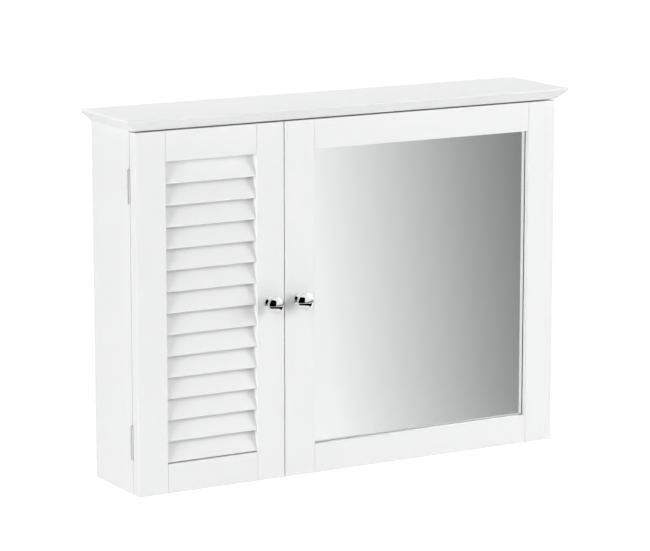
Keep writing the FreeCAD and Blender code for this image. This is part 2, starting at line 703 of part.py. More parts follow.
def make_cam_fasteners():
    """Bolts screwed into a board's face, drawn tight by locks in the next board."""
    thread = "bolt_thread / 2"
    neck = "bolt_neck / 2"
    head = "bolt_head / 2"
    head_start = "cam_setback - bolt_head_height / 2"
    head_end = "cam_setback + bolt_head_height / 2"
    bolt = turn("cam_bolt", [
        ("0", "-bolt_thread_depth + joint_clearance"),
        (thread, "-bolt_thread_depth + joint_clearance"),
        (thread, "0"),
        ("bolt_collar / 2", "0"),
        ("bolt_collar / 2", "bolt_collar_height"),
        (neck, "bolt_collar_height"),
        (neck, head_start),
        (head, head_start),
        (head, head_end),
        ("0", head_end),
    ])
    line = "-carcass_depth + bolt_line"
    middle = "base_level + half_board"
    sides = ("inner_left - half_board", "inner_right + half_board")
    bolts = [("inner_left", line, middle, RIGHTWARD), ("inner_right", line, middle, LEFTWARD)]
    bolts += [(x, line, "wall_screw_drop", DOWN) for x in sides]
    copies("cam_bolts", bolt, bolts)

    lock = new_body("cam_lock")
    pad(lock, "Z", "0", 1, "cam_height", circles=[("0", "0", "cam_diameter")])
    bore = ("0", "half_board - cam_recess", "cam_bore")
    cut(lock, "X", "-bolt_head_height", 1, "bolt_head_height + cam_diameter", circles=[bore])
    for width, height in (("cam_slot_length", "cam_slot_width"), ("cam_slot_width", "cam_slot_length")):
        slot = (f"-{width} / 2", f"-{height} / 2", width, height)
        cut(lock, "Z", "0", 1, "cam_slot_depth", rectangles=[slot])
    underside = "base_level + cam_recess"
    cam_level = "wall_screw_drop - cam_setback"
    copies("cam_locks", lock, [
        ("inner_left + cam_setback", line, underside, TURNED_ABOUT_Z),
        ("inner_right - cam_setback", line, underside, UP),
        ("inner_left - cam_recess", line, cam_level, LEFTWARD),
        ("inner_right + cam_recess", line, cam_level, RIGHTWARD_BORE_UP),
    ])


def make_screw(name, shank, head, cone, length):
    """A countersunk wood screw, its flat head in the plane z = 0."""
    return turn(name, [
        ("0", "0"),
        (f"{head} / 2", "0"),
        (f"{shank} / 2", cone),
        (f"{shank} / 2", f"{length} - screw_point"),
        ("0", length),
    ])


def make_back_screws():
    length = "back_screw_length - joint_clearance"
    screw = make_screw("back_screw", "back_screw_shank", "back_screw_head", "back_screw_cone", length)
    copies("back_panel_screws", screw, [(x, "0", z, FORWARD) for x, z in back_screw_places()])


# Hinges

def make_leaf(name, knuckles_cut):
    """A hinge leaf: a plate rolled into a barrel, with gaps for the other leaf's knuckles."""
    body = new_body(name)
    sketch = new_sketch(body, "Z", "-hinge_height / 2")
    radius = number("barrel_diameter / 2")
    near = number("leaf_clearance / 2")
    far = number("hinge_gap / 2")
    reach = number("leaf_reach")
    far_angle = math.asin(far / radius)
    near_angle = math.asin(near / radius)
    barrel = Part.Circle(FreeCAD.Vector(), FreeCAD.Vector(0, 0, 1), radius)
    start = FreeCAD.Vector(radius * math.cos(far_angle), far, 0)
    end = FreeCAD.Vector(radius * math.cos(near_angle), near, 0)
    arc = sketch.addGeometry(Part.ArcOfCircle(barrel, far_angle, near_angle + 2 * math.pi))
    far_corner = FreeCAD.Vector(reach, far, 0)
    near_corner = FreeCAD.Vector(reach, near, 0)
    back = sketch.addGeometry(Part.LineSegment(start, far_corner))
    edge = sketch.addGeometry(Part.LineSegment(far_corner, near_corner))
    front = sketch.addGeometry(Part.LineSegment(near_corner, end))
    sketch.addConstraint(Sketcher.Constraint("Coincident", arc, 3, -1, 1))
    sketch.addConstraint(Sketcher.Constraint("Coincident", arc, 1, back, 1))
    sketch.addConstraint(Sketcher.Constraint("Coincident", back, 2, edge, 1))
    sketch.addConstraint(Sketcher.Constraint("Coincident", edge, 2, front, 1))
    sketch.addConstraint(Sketcher.Constraint("Coincident", front, 2, arc, 2))
    sketch.addConstraint(Sketcher.Constraint("Horizontal", back))
    sketch.addConstraint(Sketcher.Constraint("Horizontal", front))
    dimension(sketch, "barrel_diameter / 2", "Radius", arc)
    fix_point(sketch, edge, 1, "leaf_reach", "hinge_gap / 2")
    fix_point(sketch, edge, 2, "leaf_reach", "leaf_clearance / 2")
    plate = body.newObject("PartDesign::Pad", name + "_pad")
    plate.Profile = sketch
    bind(plate, "Length", "hinge_height")
    span = "barrel_diameter + 2 * barrel_room"
    for knuckle in knuckles_cut:
        low = f"-hinge_height / 2 + {knuckle} * knuckle_height - knuckle_gap / 2"
        notch = (f"-({span}) / 2", f"-({span}) / 2", span, span)
        cut(body, "Z", low, 1, "knuckle_height + knuckle_gap", rectangles=[notch])
    bore = ("0", "0", "pivot_diameter + 2 * pivot_fit")
    cut(body, "Z", "-hinge_height / 2", 1, "hinge_height", circles=[bore])
    screws = [("leaf_screw_line", f"{side} * screw_spread / 2") for side in (-1, 1)]
    head = "screw_head + 2 * screw_fit"
    countersink(body, "Y", "leaf_clearance / 2", 1, screws, "screw_hole", head, "2 * leaf_thickness")
    return body


def make_hinges():
    frame_leaf = make_leaf("frame_leaf", (1, 3))
    door_leaf = make_leaf("door_leaf", (0, 2, 4))
    levels = [f"base_level + {level}" for level in ("hinge_low", "hinge_high")]
    for name, leaf, x, rotation in (
        ("left_hinge_frame_leaves", frame_leaf, "hinge_left", UP),
        ("right_hinge_frame_leaves", frame_leaf, "hinge_right", TURNED_ABOUT_Y),
        ("louvre_hinge_leaves", door_leaf, "hinge_left", TURNED_ABOUT_X),
        ("mirror_hinge_leaves", door_leaf, "hinge_right", TURNED_ABOUT_Z),
    ):
        copies(name, leaf, [(x, "hinge_line", level, rotation) for level in levels])
    pivot = doc.addObject("Part::Cylinder", "hinge_pin")
    bind(pivot, "Radius", "pivot_diameter / 2")
    bind(pivot, "Height", "hinge_height + 2 * pivot_stub")
    feet = [f"{level} - hinge_height / 2 - pivot_stub" for level in levels]
    pivots = [(x, "hinge_line", foot, UP) for x in ("hinge_left", "hinge_right") for foot in feet]
    copies("hinge_pins", pivot, pivots)


def leaf_screw_places(x, y, rotation):
    places = []
    for level in ("hinge_low", "hinge_high"):
        rows = [f"base_level + {level} + {side} * screw_spread / 2" for side in (-1, 1)]
        places += [(x, y, row, rotation) for row in rows]
    return places


def make_wood_screws():
    screw = make_screw("wood_screw", "screw_shank", "screw_head", "leaf_thickness", "screw_length")
    left = "-carcass_width / 2 + half_board"
    right = "carcass_width / 2 - half_board"
    frame_face = "-carcass_depth - leaf_thickness"
    door_face = "door_back + leaf_thickness"
    carcass = leaf_screw_places(left, frame_face, BACKWARD)
    carcass += leaf_screw_places(right, frame_face, BACKWARD)
    for face, screws, rotation in (
        ("divider_left - catch_ear_thickness", LEFT_CATCH_SCREWS, RIGHTWARD),
        ("divider_right + catch_ear_thickness", RIGHT_CATCH_SCREWS, LEFTWARD),
    ):
        for line, level in screws:
            carcass.append((face, f"-carcass_depth + {line}", f"catch_bottom + {level}", rotation))
    copies("carcass_wood_screws", screw, carcass)
    for door, hinge_x, strike_x in (
        ("louvre", left, "divider_left - catch_width / 2"),
        ("mirror", right, "divider_right + catch_width / 2"),
    ):
        places = leaf_screw_places(hinge_x, door_face, FORWARD)
        for side in (-1, 1):
            level = f"base_level + catch_middle + {side} * strike_screw_spacing / 2"
            places.append((strike_x, door_face, level, FORWARD))
        copies(door + "_door_screws", screw, places)


# Catches

def make_catch(name, x, z, rotation):
    """A magnetic catch: a housing with two screw ears, open at the front for the magnet."""
    body = keep(new_body(name, x, "-carcass_depth", z, rotation))
    block_low = "catch_ear_height"
    block_high = "catch_height - catch_ear_height"
    pad(body, "Y", "0", 1, "catch_depth", outline=[
        ("0", "0"),
        ("catch_ear_thickness", "0"),
        ("catch_ear_thickness", block_low),
        ("catch_width", block_low),
        ("catch_width", block_high),
        ("catch_ear_thickness", block_high),
        ("catch_ear_thickness", "catch_height"),
        ("0", "catch_height"),
    ])
    width = number("catch_width")
    depth = number("catch_depth")
    round_edges(body, "catch_round", lambda box: box.XMin > width - TINY and box.YLength > depth / 2)
    cavity = ("catch_wall", "catch_ear_height + catch_wall", "cavity_width", "cavity_height")
    cut(body, "Y", "0", 1, "magnet_depth", rectangles=[cavity])
    head = "screw_head + 2 * screw_fit"
    ear = "catch_ear_thickness"
    countersink(body, "X", ear, -1, RIGHT_CATCH_SCREWS, "screw_hole", head, ear)


def make_box(name, x, y, z, length, width, height):
    box = doc.addObject("Part::Box", name)
    bind(box, "Length", length)
    bind(box, "Width", width)
    bind(box, "Height", height)
    put(box, x, y, z)
    return box


def gather(name, pieces):
    compound = doc.addObject("Part::Compound", name)
    compound.Label = name
    compound.Links = pieces
    return keep(compound)


def make_catches():
    make_catch("right_catch_housing", "divider_right", "catch_bottom", UP)
    make_catch("left_catch_housing", "divider_left", "catch_bottom + catch_height", TURNED_ABOUT_Y)
    low = "catch_bottom + catch_ear_height + catch_wall + catch_fit"
    tall = "cavity_height - 2 * catch_fit"
    front = "-carcass_depth"
    magnets = []
    poles = []
    for name, cavity_left in (
        ("left", "divider_left - catch_width + catch_wall"),
        ("right", "divider_right + catch_wall"),
    ):
        magnet_left = f"{cavity_left} + catch_fit + pole_thickness"
        magnet_width = "cavity_width - 2 * catch_fit - 2 * pole_thickness"
        magnet = make_box(name + "_magnet", magnet_left, front, low, magnet_width, "magnet_depth", tall)
        magnets.append(magnet)
        for side, pole_left in (
            ("outer", f"{cavity_left} + catch_fit"),
            ("inner", f"{magnet_left} + {magnet_width}"),
        ):
            pole_name = f"{name}_{side}_pole"
            pole_depth = "magnet_depth + pole_reach"
            pole_front = "-carcass_depth - pole_reach"
            pole = make_box(pole_name, pole_left, pole_front, low, "pole_thickness", pole_depth, tall)
            poles.append(pole)
    gather("catch_magnets", magnets)
    gather("catch_pole_plates", poles)


def make_strike_plate(name, centre):
    level = "base_level + catch_middle - strike_height / 2"
    body = keep(new_body(name, f"{centre} - strike_width / 2", "door_back", level))
    pad(body, "Y", "0", 1, "leaf_thickness", rectangles=[("0", "0", "strike_width", "strike_height")])
    screws = [
        ("strike_width / 2", f"strike_height / 2 + {side} * strike_screw_spacing / 2") for side in (-1, 1)
    ]
    head = "screw_head + 2 * screw_fit"
    countersink(body, "Y", "leaf_thickness", -1, screws, "screw_hole", head, "2 * leaf_thickness")


# Doors

def make_stile(name, x, width, inner, into):
    """A door's upright, with mortises for the rails' tenons in its inner face."""
    body = keep(new_body(name, x, "door_front", "base_level"))
    pad(body, "Z", "0", 1, "door_height", rectangles=[("0", "0", width, "door_thickness")])
    round_edges(body, "frame_round", at_front)
    mortises = [
        ("mortise_front", "low_mortise", "mortise_thickness", "mortise_width"),
        ("mortise_front", "high_mortise", "mortise_thickness", "mortise_width"),
    ]
    cut(body, "X", inner, into, "mortise_depth", rectangles=mortises)
    return body


def cut_slat_slots(body, inner, into):
    """Slanted slots with round ends, one for each slat."""
    low = ("slot_front", "slot_low")
    high = ("slot_front + slat_run", "slot_low + slat_rise")
    slot = cut(body, "X", inner, into, "slat_slot_depth", slots=[(low, high, "slat_slot")])
    row = body.newObject("PartDesign::LinearPattern", body.Name + "_slots")
    row.Originals = [slot]
    row.Direction = (origin_feature(body, "Z_Axis"), [""])
    bind(row, "Length", "slat_pitch * (slat_count - 1)")
    bind(row, "Occurrences", "slat_count")
    body.Tip = row
    doc.recompute()


def cut_mirror_rabbet(body, inner, into):
    rabbet = ("mirror_recess", "rail_width - mirror_rabbet", "rabbet_depth", "rabbet_height")
    cut(body, "X", inner, into, "mirror_rabbet", rectangles=[rabbet])


def drill_lock_stile(body, left, knob_x, strike_x):
    """Holes for the knob's screw and for the strike plate's screws."""
    knob = (f"{knob_x} - ({left})", "knob_level", "knob_screw_hole")
    cut(body, "Y", "0", 1, "door_thickness", circles=[knob])
    levels = [f"catch_middle + {side} * strike_screw_spacing / 2" for side in (-1, 1)]
    strikes = [(f"{strike_x} - ({left})", level, "screw_hole") for level in levels]
    cut(body, "Y", "door_thickness", -1, "screw_hole_depth - leaf_thickness", circles=strikes)


def make_rail(name, x, z, length, tenon_level):
    """A door's cross piece between the stiles, with a stub tenon at each end."""
    body = keep(new_body(name, x, "door_front", z))
    pad(body, "Z", "0", 1, "rail_width", rectangles=[("0", "0", length, "door_thickness")])
    round_edges(body, "frame_round", at_front)
    tenon = ("tenon_front", tenon_level, "tenon_thickness", "tenon_width")
    pad(body, "X", "0", -1, "tenon_length", rectangles=[tenon])
    pad(body, "X", length, 1, "tenon_length", rectangles=[tenon])
    doc.recompute()
    return body


def make_slats():
    """Fixed slats with round edges, front edge low, their ends housed in the stiles."""
    left = "louvre_left + hinge_stile_width - slat_tenon"
    low = ("slat_radius", "slat_radius")
    high = ("slat_radius + slat_run", "slat_radius + slat_rise")
    for index in range(round(number("slat_count"))):
        level = f"base_level + rail_width + slat_end_gap + {index} * slat_pitch"
        body = keep(new_body(f"louvre_slat_{index + 1:02d}", left, "door_front + slat_front_inset", level))
        pad(body, "X", "0", 1, "slat_length", slots=[(low, high, "slat_thickness")])


def make_knob(door, x):
    """A turned mushroom knob and the machine screw that holds it from behind."""
    base = "knob_base_diameter / 2"
    neck = "knob_neck_diameter / 2"
    head = "knob_head_diameter / 2"
    bore = "knob_thread / 2 + joint_clearance"
    profile = [
        (bore, "0"),
        (base, "0"),
        (base, "knob_base_height"),
        (neck, "knob_base_height"),
        (neck, "knob_flare_start"),
        (head, "knob_rim_start"),
        (head, "knob_rim_end"),
        ("0", "knob_tip"),
        ("0", "knob_thread_depth"),
        (bore, "knob_thread_depth"),
    ]
    level = "base_level + knob_level"
    body = keep(new_body(door + "_knob", x, "door_front", level, FORWARD))
    sketch = new_sketch(body, "Y", "0")
    draw_domed_outline(sketch, profile, profile.index((head, "knob_rim_end")))
    revolve(body, sketch)
    screw = turn(door + "_machine_screw", [
        ("0", "-knob_screw_head_height"),
        ("knob_screw_head / 2", "-knob_screw_head_height"),
        ("knob_screw_head / 2", "0"),
        ("knob_thread / 2", "0"),
        ("knob_thread / 2", "door_thickness + knob_thread_depth - joint_room"),
        ("0", "door_thickness + knob_thread_depth - joint_room"),
    ])
    copies(door + "_knob_screw", screw, [(x, "door_back", level, FORWARD)])


def draw_domed_outline(sketch, points, dome):
    """A closed outline whose line number dome is an arc centred on the turning axis."""
    pieces = []
    for index, (start, end) in enumerate(zip(points, points[1:] + points[:1])):
        first = point(*start)
        last = point(*end)
        if index == dome:
            radius = (first.x ** 2 + (last.y - first.y) ** 2) / (2 * (last.y - first.y))
            centre = FreeCAD.Vector(0, last.y - radius, 0)
            circle = Part.Circle(centre, FreeCAD.Vector(0, 0, 1), radius)
            begin = math.atan2(first.y - centre.y, first.x)
            pieces.append(sketch.addGeometry(Part.ArcOfCircle(circle, begin, math.pi / 2)))
            sketch.addConstraint(Sketcher.Constraint("PointOnObject", pieces[-1], 3, -2))
        else:
            pieces.append(sketch.addGeometry(Part.LineSegment(first, last)))
    for piece, following, corner in zip(pieces, pieces[1:] + pieces[:1], points):
        sketch.addConstraint(Sketcher.Constraint("Coincident", piece, 2, following, 1))
        fix_point(sketch, piece, 1, *corner)


def make_louvre_door():
    lock_left = "louvre_left + hinge_stile_width + louvre_opening"
    knob_x = "louvre_left + louvre_door_width - knob_inset"
    strike_x = "divider_left - catch_width / 2"
    width = "hinge_stile_width"
    hinge_stile = make_stile("louvre_hinge_stile", "louvre_left", width, width, -1)
    cut_slat_slots(hinge_stile, width, -1)
    barrel_y = "door_thickness + hinge_gap / 2"
    cut_hinge_seat(hinge_stile, "-hinge_outset", barrel_y, "door_thickness", -1, "half_board")
    lock_stile = make_stile("louvre_lock_stile", lock_left, "louvre_lock_stile_width", "0", 1)
    cut_slat_slots(lock_stile, "0", 1)
    drill_lock_stile(lock_stile, lock_left, knob_x, strike_x)
    rail_left = "louvre_left + hinge_stile_width"
    make_rail("louvre_bottom_rail", rail_left, "base_level", "louvre_opening", "tenon_shoulder")
    top_level = "base_level + door_height - rail_width"
    make_rail("louvre_top_rail", rail_left, top_level, "louvre_opening", "high_tenon")
    make_slats()
    make_knob("louvre", knob_x)
    make_strike_plate("louvre_strike_plate", strike_x)


def make_mirror_door():
    hinge_stile_left = "mirror_left + mirror_door_width - hinge_stile_width"
    knob_x = "mirror_left + knob_inset"
    strike_x = "divider_right + catch_width / 2"
    width = "mirror_lock_stile_width"
    lock_stile = make_stile("mirror_lock_stile", "mirror_left", width, width, -1)
    cut_mirror_rabbet(lock_stile, width, -1)
    drill_lock_stile(lock_stile, "mirror_left", knob_x, strike_x)
    hinge_stile = make_stile("mirror_hinge_stile", hinge_stile_left, "hinge_stile_width", "0", 1)
    cut_mirror_rabbet(hinge_stile, "0", 1)
    barrel_x = "hinge_stile_width + hinge_outset"
    barrel_y = "door_thickness + hinge_gap / 2"
    screw_x = "hinge_stile_width - half_board"
    cut_hinge_seat(hinge_stile, barrel_x, barrel_y, "door_thickness", -1, screw_x)
    rail_left = "mirror_left + mirror_lock_stile_width"
    top_level = "base_level + door_height - rail_width"
    length = "mirror_opening"
    bottom_rail = make_rail("mirror_bottom_rail", rail_left, "base_level", length, "tenon_shoulder")
    top_rail = make_rail("mirror_top_rail", rail_left, top_level, length, "high_tenon")
    for rail, level in ((bottom_rail, "rail_width - mirror_rabbet"), (top_rail, "0")):
        rabbet = ("mirror_recess", level, "rabbet_depth", "mirror_rabbet")
        cut(rail, "X", "0", 1, length, rectangles=[rabbet])
    make_mirror()
    make_knob("mirror", knob_x)
    make_strike_plate("mirror_strike_plate", strike_x)


def make_mirror():
    """The mirror and its backing board, held in the rabbet by four beads."""
    left = "rabbet_left + mirror_room"
    bottom = "rabbet_bottom + mirror_room"
    width = "rabbet_width - 2 * mirror_room"
    height = "rabbet_height - 2 * mirror_room"
    glass_front = "door_front + mirror_recess"
    keep(make_box("mirror_glass", left, glass_front, bottom, width, "mirror_thickness", height))
    backing_front = f"{glass_front} + mirror_thickness"
    keep(make_box("mirror_backing", left, backing_front, bottom, width, "backing_thickness", height))
    bead = "mirror_rabbet - mirror_room"
    right = f"rabbet_right - mirror_room - ({bead})"
    across = f"{width} - 2 * ({bead})"
    inside = f"{left} + {bead}"
    top = f"rabbet_top - mirror_room - ({bead})"
    gather("mirror_beads", [
        make_box("left_bead", left, "bead_front", bottom, bead, "bead_thickness", height),
        make_box("right_bead", right, "bead_front", bottom, bead, "bead_thickness", height),
        make_box("bottom_bead", inside, "bead_front", bottom, across, "bead_thickness", bead),
        make_box("top_bead", inside, "bead_front", top, across, "bead_thickness", bead),
    ])


def check_and_write():
    """Refuses a failed object, then writes one file for each piece."""
    doc.recompute()
    for thing in doc.Objects:
        if "Invalid" in thing.State or "Error" in thing.State:
            raise RuntimeError(f"{thing.Name} failed: {thing.State}")
    for node in nodes:
        if node.Shape.isNull() or not node.Shape.isValid() or not node.Shape.Solids:
            raise RuntimeError(f"{node.Label} has no valid solid")
    os.makedirs("parts", exist_ok=True)
    for node in nodes:
        node.Shape.exportStep(f"parts/{node.Label}.step")
        print(f"{node.Label}: {len(node.Shape.Solids)} solid(s), {node.Shape.Volume:.0f} mm3")


fill_sheet()
make_side_panel("left_side_panel", "-carcass_width / 2", "board_thickness", "0", -1)
make_side_panel("right_side_panel", "carcass_width / 2 - board_thickness", "0", "board_thickness", 1)
make_bottom_panel()
make_top_board()
make_divider()
make_hanging_rail()
make_back_panel()
make_shelf("left_shelf", "inner_left", "divider_left")
make_shelf("right_shelf", "divider_right", "inner_right")
make_pins("left_shelf_pins", "inner_left", "divider_left")
make_pins("right_shelf_pins", "divider_right", "inner_right")
make_dowels()
make_cam_fasteners()
make_back_screws()
make_hinges()
make_wood_screws()
make_catches()
make_louvre_door()
make_mirror_door()
check_and_write()
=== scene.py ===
# %% [markdown]
# # Dressing a mirrored wall cabinet
# The imported model already holds every board, slat, hinge and screw at its real size.
# This lesson gives those pieces their finishes, remakes the pieces whose edges, shine or
# detail need a finer mesh, and lights the whole thing like a catalogue picture.
# We start by loading the model.

# %% Load the imported cabinet
import json
import math

import bmesh
import bpy
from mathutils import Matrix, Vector


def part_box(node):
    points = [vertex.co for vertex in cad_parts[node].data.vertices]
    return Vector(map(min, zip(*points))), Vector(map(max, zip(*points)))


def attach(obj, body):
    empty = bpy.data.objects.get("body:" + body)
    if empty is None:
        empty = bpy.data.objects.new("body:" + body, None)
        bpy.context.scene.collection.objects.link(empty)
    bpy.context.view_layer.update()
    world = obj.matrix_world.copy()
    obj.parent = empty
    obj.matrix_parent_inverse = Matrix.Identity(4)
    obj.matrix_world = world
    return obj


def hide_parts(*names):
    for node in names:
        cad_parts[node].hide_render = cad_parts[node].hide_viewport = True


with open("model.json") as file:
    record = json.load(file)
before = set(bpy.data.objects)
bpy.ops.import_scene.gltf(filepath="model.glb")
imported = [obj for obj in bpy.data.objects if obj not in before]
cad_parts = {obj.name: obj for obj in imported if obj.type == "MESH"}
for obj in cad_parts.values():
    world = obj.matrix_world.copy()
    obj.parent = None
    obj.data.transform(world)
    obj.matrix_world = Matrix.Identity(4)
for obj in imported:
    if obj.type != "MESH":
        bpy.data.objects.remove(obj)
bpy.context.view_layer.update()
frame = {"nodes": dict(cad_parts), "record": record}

NODES = frame["nodes"]
SLOT_OF = {part["node"]: part["material_slot"] for part in frame["record"]["subparts"]}
BODY_OF = {}
for body, names in frame["record"]["behaviour"]["bodies"].items():
    BODY_OF.update({name: body for name in names})
MM = 0.001

# %% [markdown]
# ## The camera
# The picture was taken from the left, a little above the cabinet, with a long lens.
# A long lens far away keeps the edges nearly parallel. The place, the angles and the
# lens below were found by matching the cabinet's corners with their places in the picture.

# %% Camera
LENS_MM = 169.23
SENSOR_MM = 36.0
EYE = (-2.0528, -3.6172, 0.5825)
PAN_DEG = 29.946
TILT_DEG = 10.785
FARTHEST = 200

scene = bpy.context.scene
scene.view_settings.view_transform = "Standard"
lens = bpy.data.cameras.new("long_lens")
lens.lens = LENS_MM
lens.sensor_width = SENSOR_MM
lens.clip_end = FARTHEST
camera = bpy.data.objects.new("camera", lens)
camera.location = EYE
camera.rotation_euler = (math.radians(90 - TILT_DEG), 0, math.radians(-PAN_DEG))
scene.collection.objects.link(camera)
scene.camera = camera
print("camera at", EYE, "lens", LENS_MM)

# %% [markdown]
# ## Small helpers for node trees
# A node tree is easier to read when one call makes a node, sets its values and wires it.
# `add` does that: keyword arguments set properties, and the `inputs` dictionary either
# sets a socket to a value or links it to another node's output.

# %% Node helpers
def add(tree, kind, inputs=None, **properties):
    node = tree.nodes.new(kind)
    for name, value in properties.items():
        setattr(node, name, value)
    for key, value in (inputs or {}).items():
        socket = node.inputs[key]
        if isinstance(value, bpy.types.NodeSocket):
            tree.links.new(value, socket)
        else:
            socket.default_value = value
    return node


def math_node(tree, operation, first, second=0.0):
    return add(tree, "ShaderNodeMath", {0: first, 1: second}, operation=operation).outputs[0]


def vector(tree, **parts):
    """The output of a node that joins X, Y and Z."""
    return add(tree, "ShaderNodeCombineXYZ", parts).outputs[0]


def colour_mix(tree, factor, first, second):
    node = add(tree, "ShaderNodeMix", {0: factor, 6: first, 7: second}, data_type="RGBA")
    return node.outputs[2]


def value_range(tree, value, low, high):
    """Stretches a value from 0 to 1 over the range low to high."""
    node = add(tree, "ShaderNodeMapRange", {"Value": value, "To Min": low, "To Max": high})
    return node.outputs["Result"]


print("node helpers:", [helper.__name__ for helper in (add, math_node, vector, colour_mix, value_range)])

# %% [markdown]
# Materials and shader groups need a few calls of their own. A group is made with named
# sockets and used like any node; a bump is a height that is wired to the shader's normal.

# %% Material helpers
def new_group(name, inputs, outputs):
    """An empty shader group with named sockets; returns it with its two ends."""
    group = bpy.data.node_groups.new(name, "ShaderNodeTree")
    for socket_name, kind, value in inputs:
        socket = group.interface.new_socket(socket_name, in_out="INPUT", socket_type=kind)
        socket.default_value = value
    for socket_name in outputs:
        group.interface.new_socket(socket_name, in_out="OUTPUT", socket_type="NodeSocketFloat")
    start = group.nodes.new("NodeGroupInput")
    end = group.nodes.new("NodeGroupOutput")
    return group, start.outputs, end.inputs


def use_group(tree, group, values):
    node = tree.nodes.new("ShaderNodeGroup")
    node.node_tree = group
    for key, value in values.items():
        node.inputs[key].default_value = value
    return node.outputs


def new_material(name):
    """A material with a plain Principled shader; returns the material, its tree and the shader."""
    material = bpy.data.materials.new(name)
    material.use_nodes = True
    tree = material.node_tree
    return material, tree, tree.nodes["Principled BSDF"]


def bump(tree, shader, height, strength, distance):
    node = add(tree, "ShaderNodeBump", {"Height": height, "Strength": strength, "Distance": distance})
    tree.links.new(node.outputs["Normal"], shader.inputs["Normal"])


print("material helpers:", [helper.__name__ for helper in (new_group, use_group, new_material, bump)])

# %% [markdown]
# ## Effects that several finishes share
# Sprayed lacquer and moulded plastic are never quite flat: they have a faint orange peel,
# about a millimetre across, and the tone drifts a little over a hand's width.
# Plated metal carries fine streaks from polishing. Each effect is a shader group that only
# puts out values, so that every finish can use it at its own scale.

# %% Shared effects
def make_peel_group():
    group, given, out = new_group(
        "sprayed_peel",
        [("Peel Scale", "NodeSocketFloat", 600.0), ("Drift Scale", "NodeSocketFloat", 9.0)],
        ["Peel", "Drift"])
    place = add(group, "ShaderNodeTexCoord").outputs["Object"]
    peel = add(group, "ShaderNodeTexNoise",
               {"Vector": place, "Scale": given["Peel Scale"], "Detail": 2.0, "Roughness": 0.4})
    drift = add(group, "ShaderNodeTexNoise",
                {"Vector": place, "Scale": given["Drift Scale"], "Detail": 3.0, "Roughness": 0.55})
    group.links.new(peel.outputs["Fac"], out["Peel"])
    group.links.new(drift.outputs["Fac"], out["Drift"])
    return group


def make_streak_group():
    group, given, out = new_group(
        "polishing_streaks",
        [("Stretch", "NodeSocketVector", (1.0, 1.0, 1.0)), ("Scale", "NodeSocketFloat", 400.0)],
        ["Streaks", "Smudge"])
    place = add(group, "ShaderNodeTexCoord").outputs["Object"]
    stretched = add(group, "ShaderNodeVectorMath", {0: place, 1: given["Stretch"]}, operation="MULTIPLY")
    streaks = add(group, "ShaderNodeTexNoise",
                  {"Vector": stretched.outputs[0], "Scale": given["Scale"], "Detail": 4.0, "Roughness": 0.6})
    smudge = add(group, "ShaderNodeTexNoise", {"Vector": place, "Scale": 120.0, "Detail": 2.0})
    group.links.new(streaks.outputs["Fac"], out["Streaks"])
    group.links.new(smudge.outputs["Fac"], out["Smudge"])
    return group


PEEL = make_peel_group()
STREAKS = make_streak_group()
print("groups:", PEEL.name, STREAKS.name)

# %% [markdown]
# ## The finishes
# Each finish is one function. The lacquer is the one that matters most, because nearly
# all of the cabinet wears it: a satin white with a hint of peel and a slow drift in tone.

# %% White lacquer
LACQUER = (0.845, 0.848, 0.848, 1)
LACQUER_DRIFT = (0.825, 0.828, 0.83, 1)
LACQUER_ROUGHNESS = (0.34, 0.44)
LACQUER_SPECULAR = 0.4


def white_lacquer():
    material, tree, shader = new_material("satin_white_lacquer")
    skin = use_group(tree, PEEL, {"Peel Scale": 700.0, "Drift Scale": 7.0})
    tree.links.new(colour_mix(tree, skin["Drift"], LACQUER, LACQUER_DRIFT), shader.inputs["Base Color"])
    tree.links.new(value_range(tree, skin["Drift"], *LACQUER_ROUGHNESS), shader.inputs["Roughness"])
    shader.inputs["Specular IOR Level"].default_value = LACQUER_SPECULAR
    bump(tree, shader, skin["Peel"], strength=0.05, distance=0.4 * MM)
    return material


FINISHES = {"white_lacquer": white_lacquer()}
print("finish:", FINISHES["white_lacquer"].name)

# %% [markdown]
# The back panel and the board behind the mirror are hardboard. Seen from inside the
# cabinet the back panel is white, and from the wall side it is raw and brown: pressed
# fibres, cloudy in tone, with the imprint of the wire screen that it was pressed on. Clouds
# and fibres are noise at two scales, and the screen is a product of two sine waves.
# The side is told from the Y coordinate: the wall is at zero.

# %% Hardboard
FIBRE_DARK = (0.105, 0.052, 0.024, 1)
FIBRE_LIGHT = (0.33, 0.19, 0.095, 1)
PANEL_WHITE = (0.80, 0.80, 0.79, 1)
RAW_ROUGHNESS, WHITE_ROUGHNESS = 0.75, 0.45
CLOUD_SHARE, FIBRE_SHARE = 0.45, 0.55
BROWN_CONTRAST = (-0.7, 1.7)
SCREEN_WAVES = 2 * math.pi / (1.3 * MM)
PANEL_MIDDLE_Y = -1.5 * MM
IN_FRONT_OF_ALL = -1.0


